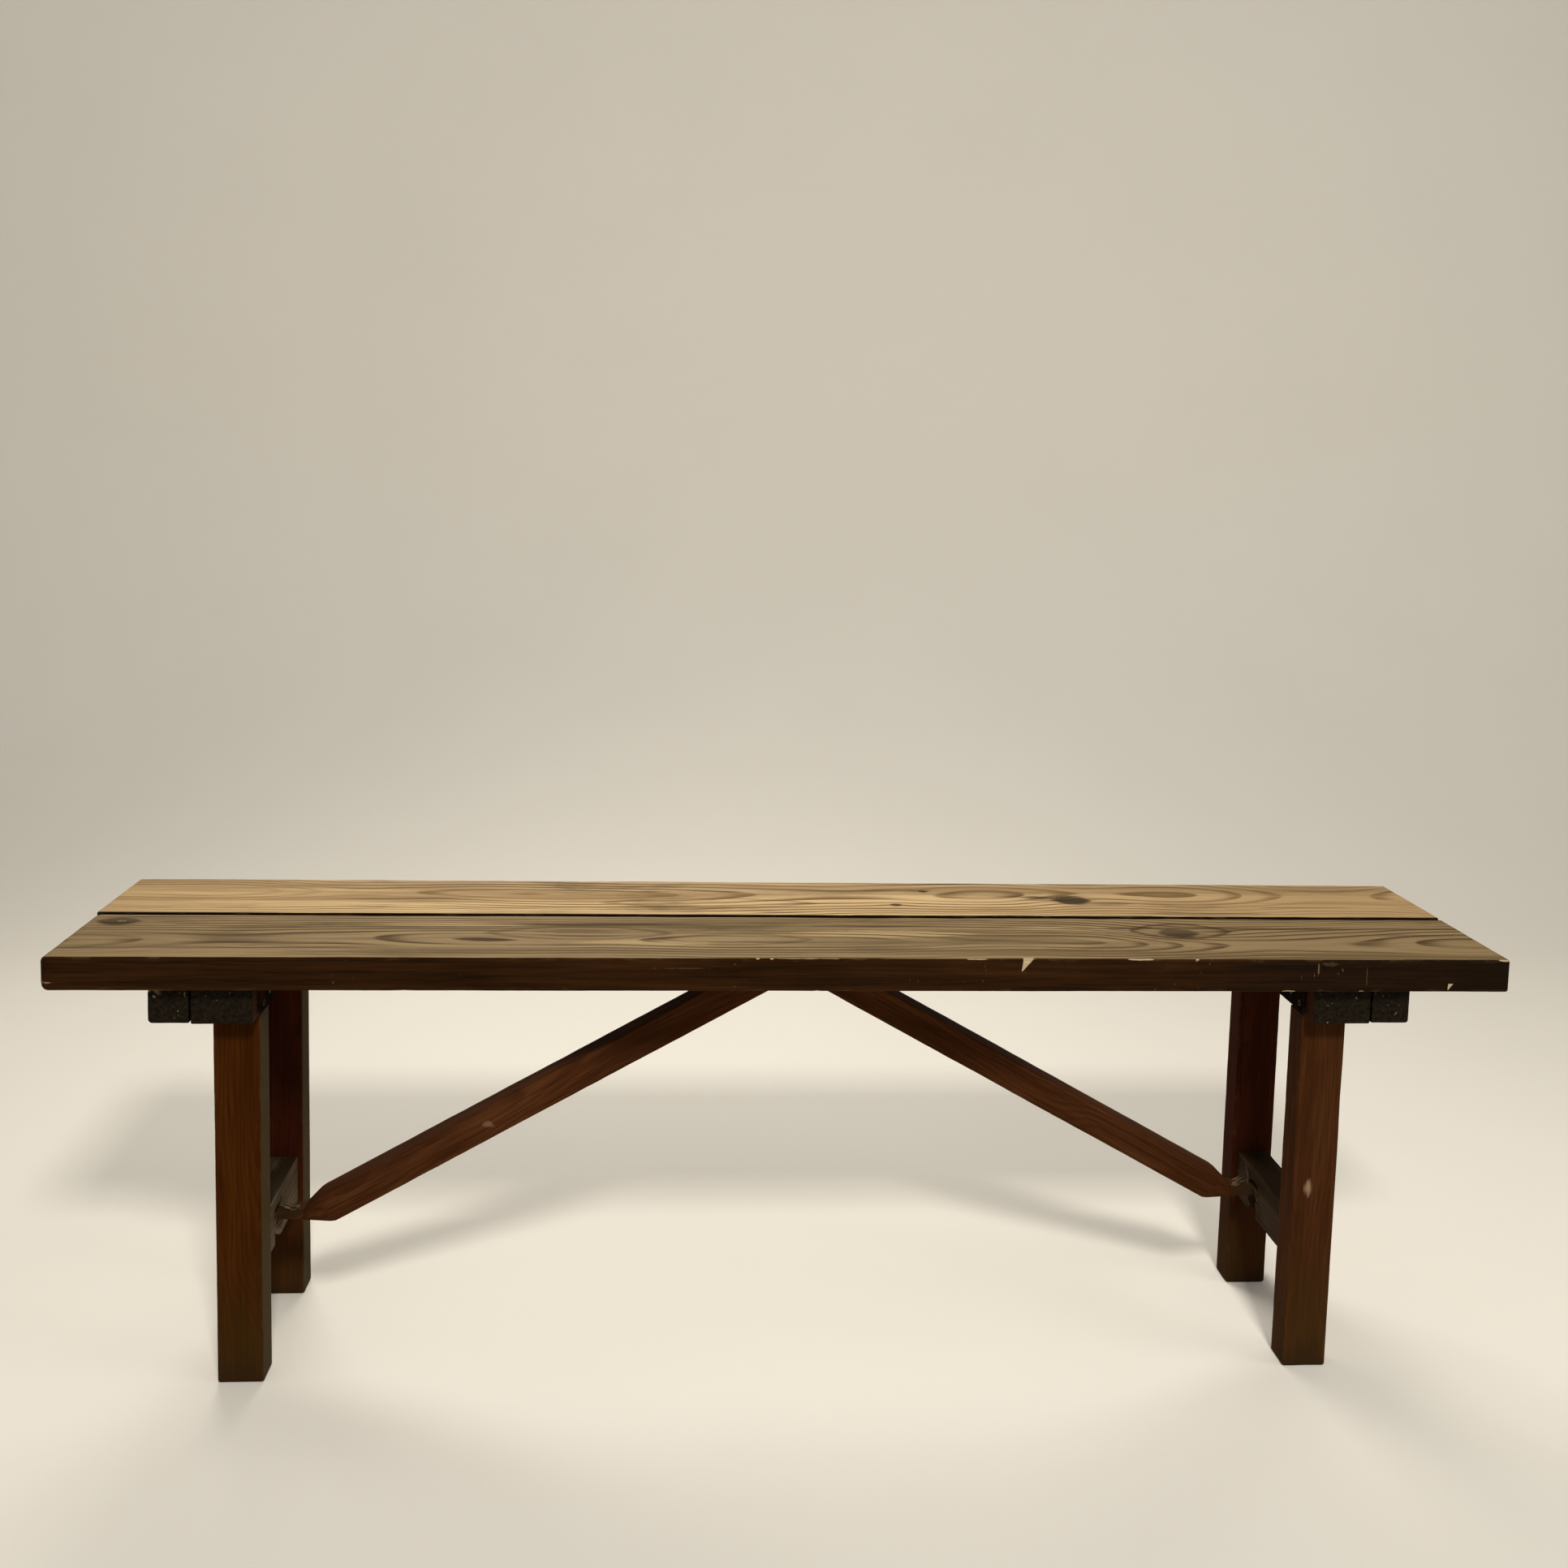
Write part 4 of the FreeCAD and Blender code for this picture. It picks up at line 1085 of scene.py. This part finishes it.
def raw_wood(name):
    """Torn bare wood, greyed."""
    wood = Shader(name)
    fibre = wood.noise(wood.place, RAW_STRETCH)
    colour = wood.ramp(fibre, RAW_PLACES, RAW_COLOURS)
    rough = fibre * FIBRE_ROUGH + RAW_ROUGH
    return wood.finish(colour, rough, specular=0.15, height=fibre, depth=0.2 * MM)


torn_wood = raw_wood("torn_wood")

TONGUE_SLIVERS = 9
NOTCH_SLIVERS = 10
SLIVER_ROOT = 1.5 * MM


def make_splinters(side, seed):
    """Fibres raised on the tongue, and others torn from the stretcher round its notch.

    The ranges, in mm where they are lengths, are those from which each splinter is drawn.
    """
    sign = SIDES[side]
    rng = np.random.default_rng(seed)
    low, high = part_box(f"{side}_brace")
    face = sign * min(abs(corner.x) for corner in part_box(f"{side}_stretcher"))
    middle = 0.5 * (low.y + high.y)
    top = low.z + TONGUE_ROOT

    def draw(least, most):
        return rng.uniform(least, most) * MM

    points, faces = [], []
    for _ in range(TONGUE_SLIVERS):
        y = middle + rng.uniform(-0.4, 0.4) * TONGUE_WIDTH
        reach = draw(18, 32)
        start = (face - sign * reach, y, top - draw(1.5, 4))
        end = (face - sign * (reach - draw(9, 17)), y + draw(-3, 3), top + draw(-1, 3))
        sliver(start, end, draw(1.6, 3.2), draw(0, 2), rng, points, faces)
    piece = new_object(f"{side}_tongue_splinters", points, faces, torn_wood, smooth=False)
    attach(piece, f"{side}_brace")
    points, faces = [], []
    edge = 0.5 * NOTCH_WIDTH + SLIVER_ROOT
    for k in range(NOTCH_SLIVERS):
        y = middle + (edge if k % 2 else -edge) + draw(-1.5, 1.5)
        z = low.z + draw(-22, 10)
        start = (face + sign * SLIVER_ROOT, y, z)
        end = (face - sign * draw(1.5, 4), y + draw(-2, 2), z + draw(6, 15))
        sliver(start, end, draw(1.4, 2.6), 0.0, rng, points, faces)
    piece = new_object(f"{side}_notch_splinters", points, faces, torn_wood, smooth=False)
    attach(piece, f"{side}_leg_frame")


for number, side in enumerate(SIDES):
    make_splinters(side, seed=510 + number)


# Screws, one piece for each body

SCREW_STEPS = 20
# Radius and height of a head's rings, half width of its slot and its depth, against the head's radius.
SCREW_ROWS = [(1.0, -0.4), (1.0, 0.05), (0.85, 0.16), (0.55, 0.24), (0.2, 0.27)]
SLOT_HALF = 0.17
SLOT_DEPTH = 0.30
SLOT_ABOVE = 0.1


def screw_head(centre, outward, radius, turn, points, faces):
    """Add one slotted countersunk head: a low dome with a slot across it."""
    outward = Vector(outward).normalized()
    side = outward.orthogonal().normalized()
    side.rotate(Matrix.Rotation(turn, 3, outward))
    other = outward.cross(side)
    faces += rings_faces(len(points), len(SCREW_ROWS), SCREW_STEPS)
    for share, rise in SCREW_ROWS:
        for k in range(SCREW_STEPS):
            angle = FULL_TURN * k / SCREW_STEPS
            u, v = share * math.cos(angle), share * math.sin(angle)
            height = rise - SLOT_DEPTH if abs(v) < SLOT_HALF and rise > SLOT_ABOVE else rise
            points.append(tuple(Vector(centre) + radius * (u * side + v * other + height * outward)))


def add_screws(name, body, spots):
    """One piece of screw heads given as (centre, outward, radius)."""
    points, faces = [], []
    rng = np.random.default_rng(len(spots) + len(name))
    for centre, outward, radius in spots:
        screw_head(centre, outward, radius, rng.uniform(0, math.pi), points, faces)
    piece = new_object(name, points, faces, screw_metal, smooth=False)
    attach(piece, body)


DOWN = (0, 0, -1)
HINGE_SCREW = 3.6 * MM
PLATE_SCREW = 4.2 * MM
CLEAT_SCREW = 4.6 * MM
LEAF = 2.5 * MM
CLEAT_SINK = 0.6 * MM
CLEAT_SCREWS = (-0.112, -0.040, 0.046, 0.112)
# Screws of a leaf: share of its length, and how far from its free edge.
LEAF_SCREWS = ((0.16, 8 * MM), (0.5, 13 * MM), (0.84, 8 * MM))
PLATE_SIDE = 10 * MM
PLATE_EDGE = 8 * MM
PLATE_INNER = 21 * MM

seat_spots = []
frame_spots = {side: [] for side in SIDES}
for side, sign in SIDES.items():
    for end in ENDS:
        low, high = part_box(f"{side}_{end}_hinge_seat_leaf")
        inner = low.x if sign > 0 else high.x
        for share, back in LEAF_SCREWS:
            y = low.y + share * (high.y - low.y)
            seat_spots.append(((inner + sign * back, y, high.z - LEAF), DOWN, HINGE_SCREW))
        low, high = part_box(f"{side}_{end}_hinge_frame_leaf")
        face = (high.x - LEAF) if sign > 0 else (low.x + LEAF)
        for share, back in LEAF_SCREWS:
            y = low.y + share * (high.y - low.y)
            frame_spots[side].append(((face, y, low.z + back), (-sign, 0, 0), HINGE_SCREW))
    low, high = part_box(f"{side}_cleat")
    for y in CLEAT_SCREWS:
        seat_spots.append(((0.5 * (low.x + high.x), y, low.z + CLEAT_SINK), DOWN, CLEAT_SCREW))
low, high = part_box("bracket_plate")
middle = 0.5 * (low.y + high.y)
for x in (low.x + PLATE_SIDE, high.x - PLATE_SIDE):
    for y in (low.y + PLATE_EDGE, middle - PLATE_INNER, middle + PLATE_INNER, high.y - PLATE_EDGE):
        seat_spots.append(((x, y, low.z), DOWN, PLATE_SCREW))
add_screws("seat_screws", "seat", seat_spots)
for side, spots in frame_spots.items():
    add_screws(f"{side}_hinge_screws", f"{side}_leg_frame", spots)


# Stage, light and camera

PAPER = linear(226, 220, 208)
PAPER_SHADE = 0.96
PAPER_CLOUD = 3.0
FLOOR_HALF = 7.0
FLOOR_FRONT = -4.4
BACKDROP_Y = 2.6
BACKDROP_BEND = 1.2
BACKDROP_TOP = 7.0
BEND_STEPS = 12


def paper_shader(name):
    """Plain pale paper with a faint cloud in it."""
    paper = Shader(name)
    shaded = tuple(PAPER_SHADE * c for c in PAPER[:3]) + (1.0,)
    tint = paper.mix(paper.noise(paper.place, PAPER_CLOUD), shaded, PAPER)
    return paper.finish(tint, roughness=0.9, specular=0.1)


def make_stage():
    """Pale floor that curves up into a backdrop behind the bench."""
    foot = BACKDROP_Y - BACKDROP_BEND
    profile = [(FLOOR_FRONT, 0.0), (foot, 0.0)]
    for k in range(1, BEND_STEPS + 1):
        angle = QUARTER * k / BEND_STEPS
        rise = BACKDROP_BEND - BACKDROP_BEND * math.cos(angle)
        profile.append((foot + BACKDROP_BEND * math.sin(angle), rise))
    profile.append((BACKDROP_Y, BACKDROP_TOP))
    points = [(x, y, z) for y, z in profile for x in (-FLOOR_HALF, FLOOR_HALF)]
    faces = [(2 * k, 2 * k + 1, 2 * k + 3, 2 * k + 2) for k in range(len(profile) - 1)]
    floor = new_object("studio_floor", points, faces, paper_shader("studio_paper"))


make_stage()

AIM = (0.0, 0.0, 0.3)


def add_light(name, place, size, power, colour, spread=180):
    """Soft square lamp aimed at the bench, not seen itself; spread is its beam in degrees."""
    lamp = bpy.data.lights.new(name, "AREA")
    lamp.shape = "RECTANGLE"
    lamp.size, lamp.size_y = size
    lamp.energy = power
    lamp.color = colour
    lamp.spread = math.radians(spread)
    obj = bpy.data.objects.new(name, lamp)
    bpy.context.collection.objects.link(obj)
    obj.visible_camera = False
    obj.location = place
    obj.rotation_euler = (Vector(AIM) - Vector(place)).to_track_quat("-Z", "Y").to_euler()


add_light("key", place=(0.3, -3.0, 3.1), size=(0.6, 0.5), power=118.0, colour=(1.0, 0.97, 0.92))
add_light("side", place=(3.2, -1.2, 1.4), size=(1.6, 1.6), power=22.0, colour=(0.98, 0.99, 1.0))
add_light("back", place=(-0.6, 2.1, 2.3), size=(1.8, 1.0), power=18.0, colour=(1.0, 0.98, 0.95), spread=100)

AMBIENT = (1.0, 0.985, 0.96, 1.0)
AMBIENT_STRENGTH = 0.32
SURROUND = linear(206, 199, 186)


def make_world():
    """Even ambient light, and a paper-pale surround where a ray looks straight out."""
    world = bpy.data.worlds.new("studio")
    bpy.context.scene.world = world
    world.use_nodes = True
    tree = world.node_tree
    lit = tree.nodes["Background"]
    lit.inputs["Color"].default_value = AMBIENT
    lit.inputs["Strength"].default_value = AMBIENT_STRENGTH
    seen = tree.nodes.new("ShaderNodeBackground")
    seen.inputs["Color"].default_value = SURROUND
    rays = tree.nodes.new("ShaderNodeLightPath").outputs
    straight = rays["Is Camera Ray"]
    for kind in ("Is Glossy Ray", "Is Transmission Ray"):
        either = tree.nodes.new("ShaderNodeMath")
        either.operation = "MAXIMUM"
        tree.links.new(straight, either.inputs[0])
        tree.links.new(rays[kind], either.inputs[1])
        straight = either.outputs[0]
    choose = tree.nodes.new("ShaderNodeMixShader")
    for socket, source in zip(choose.inputs, (straight, lit.outputs[0], seen.outputs[0])):
        tree.links.new(source, socket)
    tree.links.new(choose.outputs[0], tree.nodes["World Output"].inputs["Surface"])


make_world()

IMAGE = 1932
FOCAL_PIXELS = 1935.0
HORIZON_ROW = 785.64
PITCH, ROLL, YAW = (math.radians(v) for v in (5.942, 0.952, 3.968))
CAMERA_PLACE = (-0.13024, -1.69689, 0.95790)
SENSOR = 36.0

turn = Matrix.Rotation(YAW, 3, "Z") @ Matrix.Rotation(ROLL, 3, "Y") @ Matrix.Rotation(PITCH, 3, "X")
camera_data = bpy.data.cameras.new("camera")
camera_data.sensor_width = SENSOR
camera_data.lens = SENSOR * FOCAL_PIXELS / IMAGE
camera_data.shift_y = -(IMAGE / 2 - HORIZON_ROW) / IMAGE
camera = bpy.data.objects.new("camera", camera_data)
bpy.context.collection.objects.link(camera)
columns = Matrix((turn[0], turn[2], -turn[1])).transposed()
camera.matrix_world = Matrix.Translation(CAMERA_PLACE) @ columns.to_4x4()
bpy.context.scene.camera = camera
bpy.context.scene.view_settings.view_transform = "Standard"
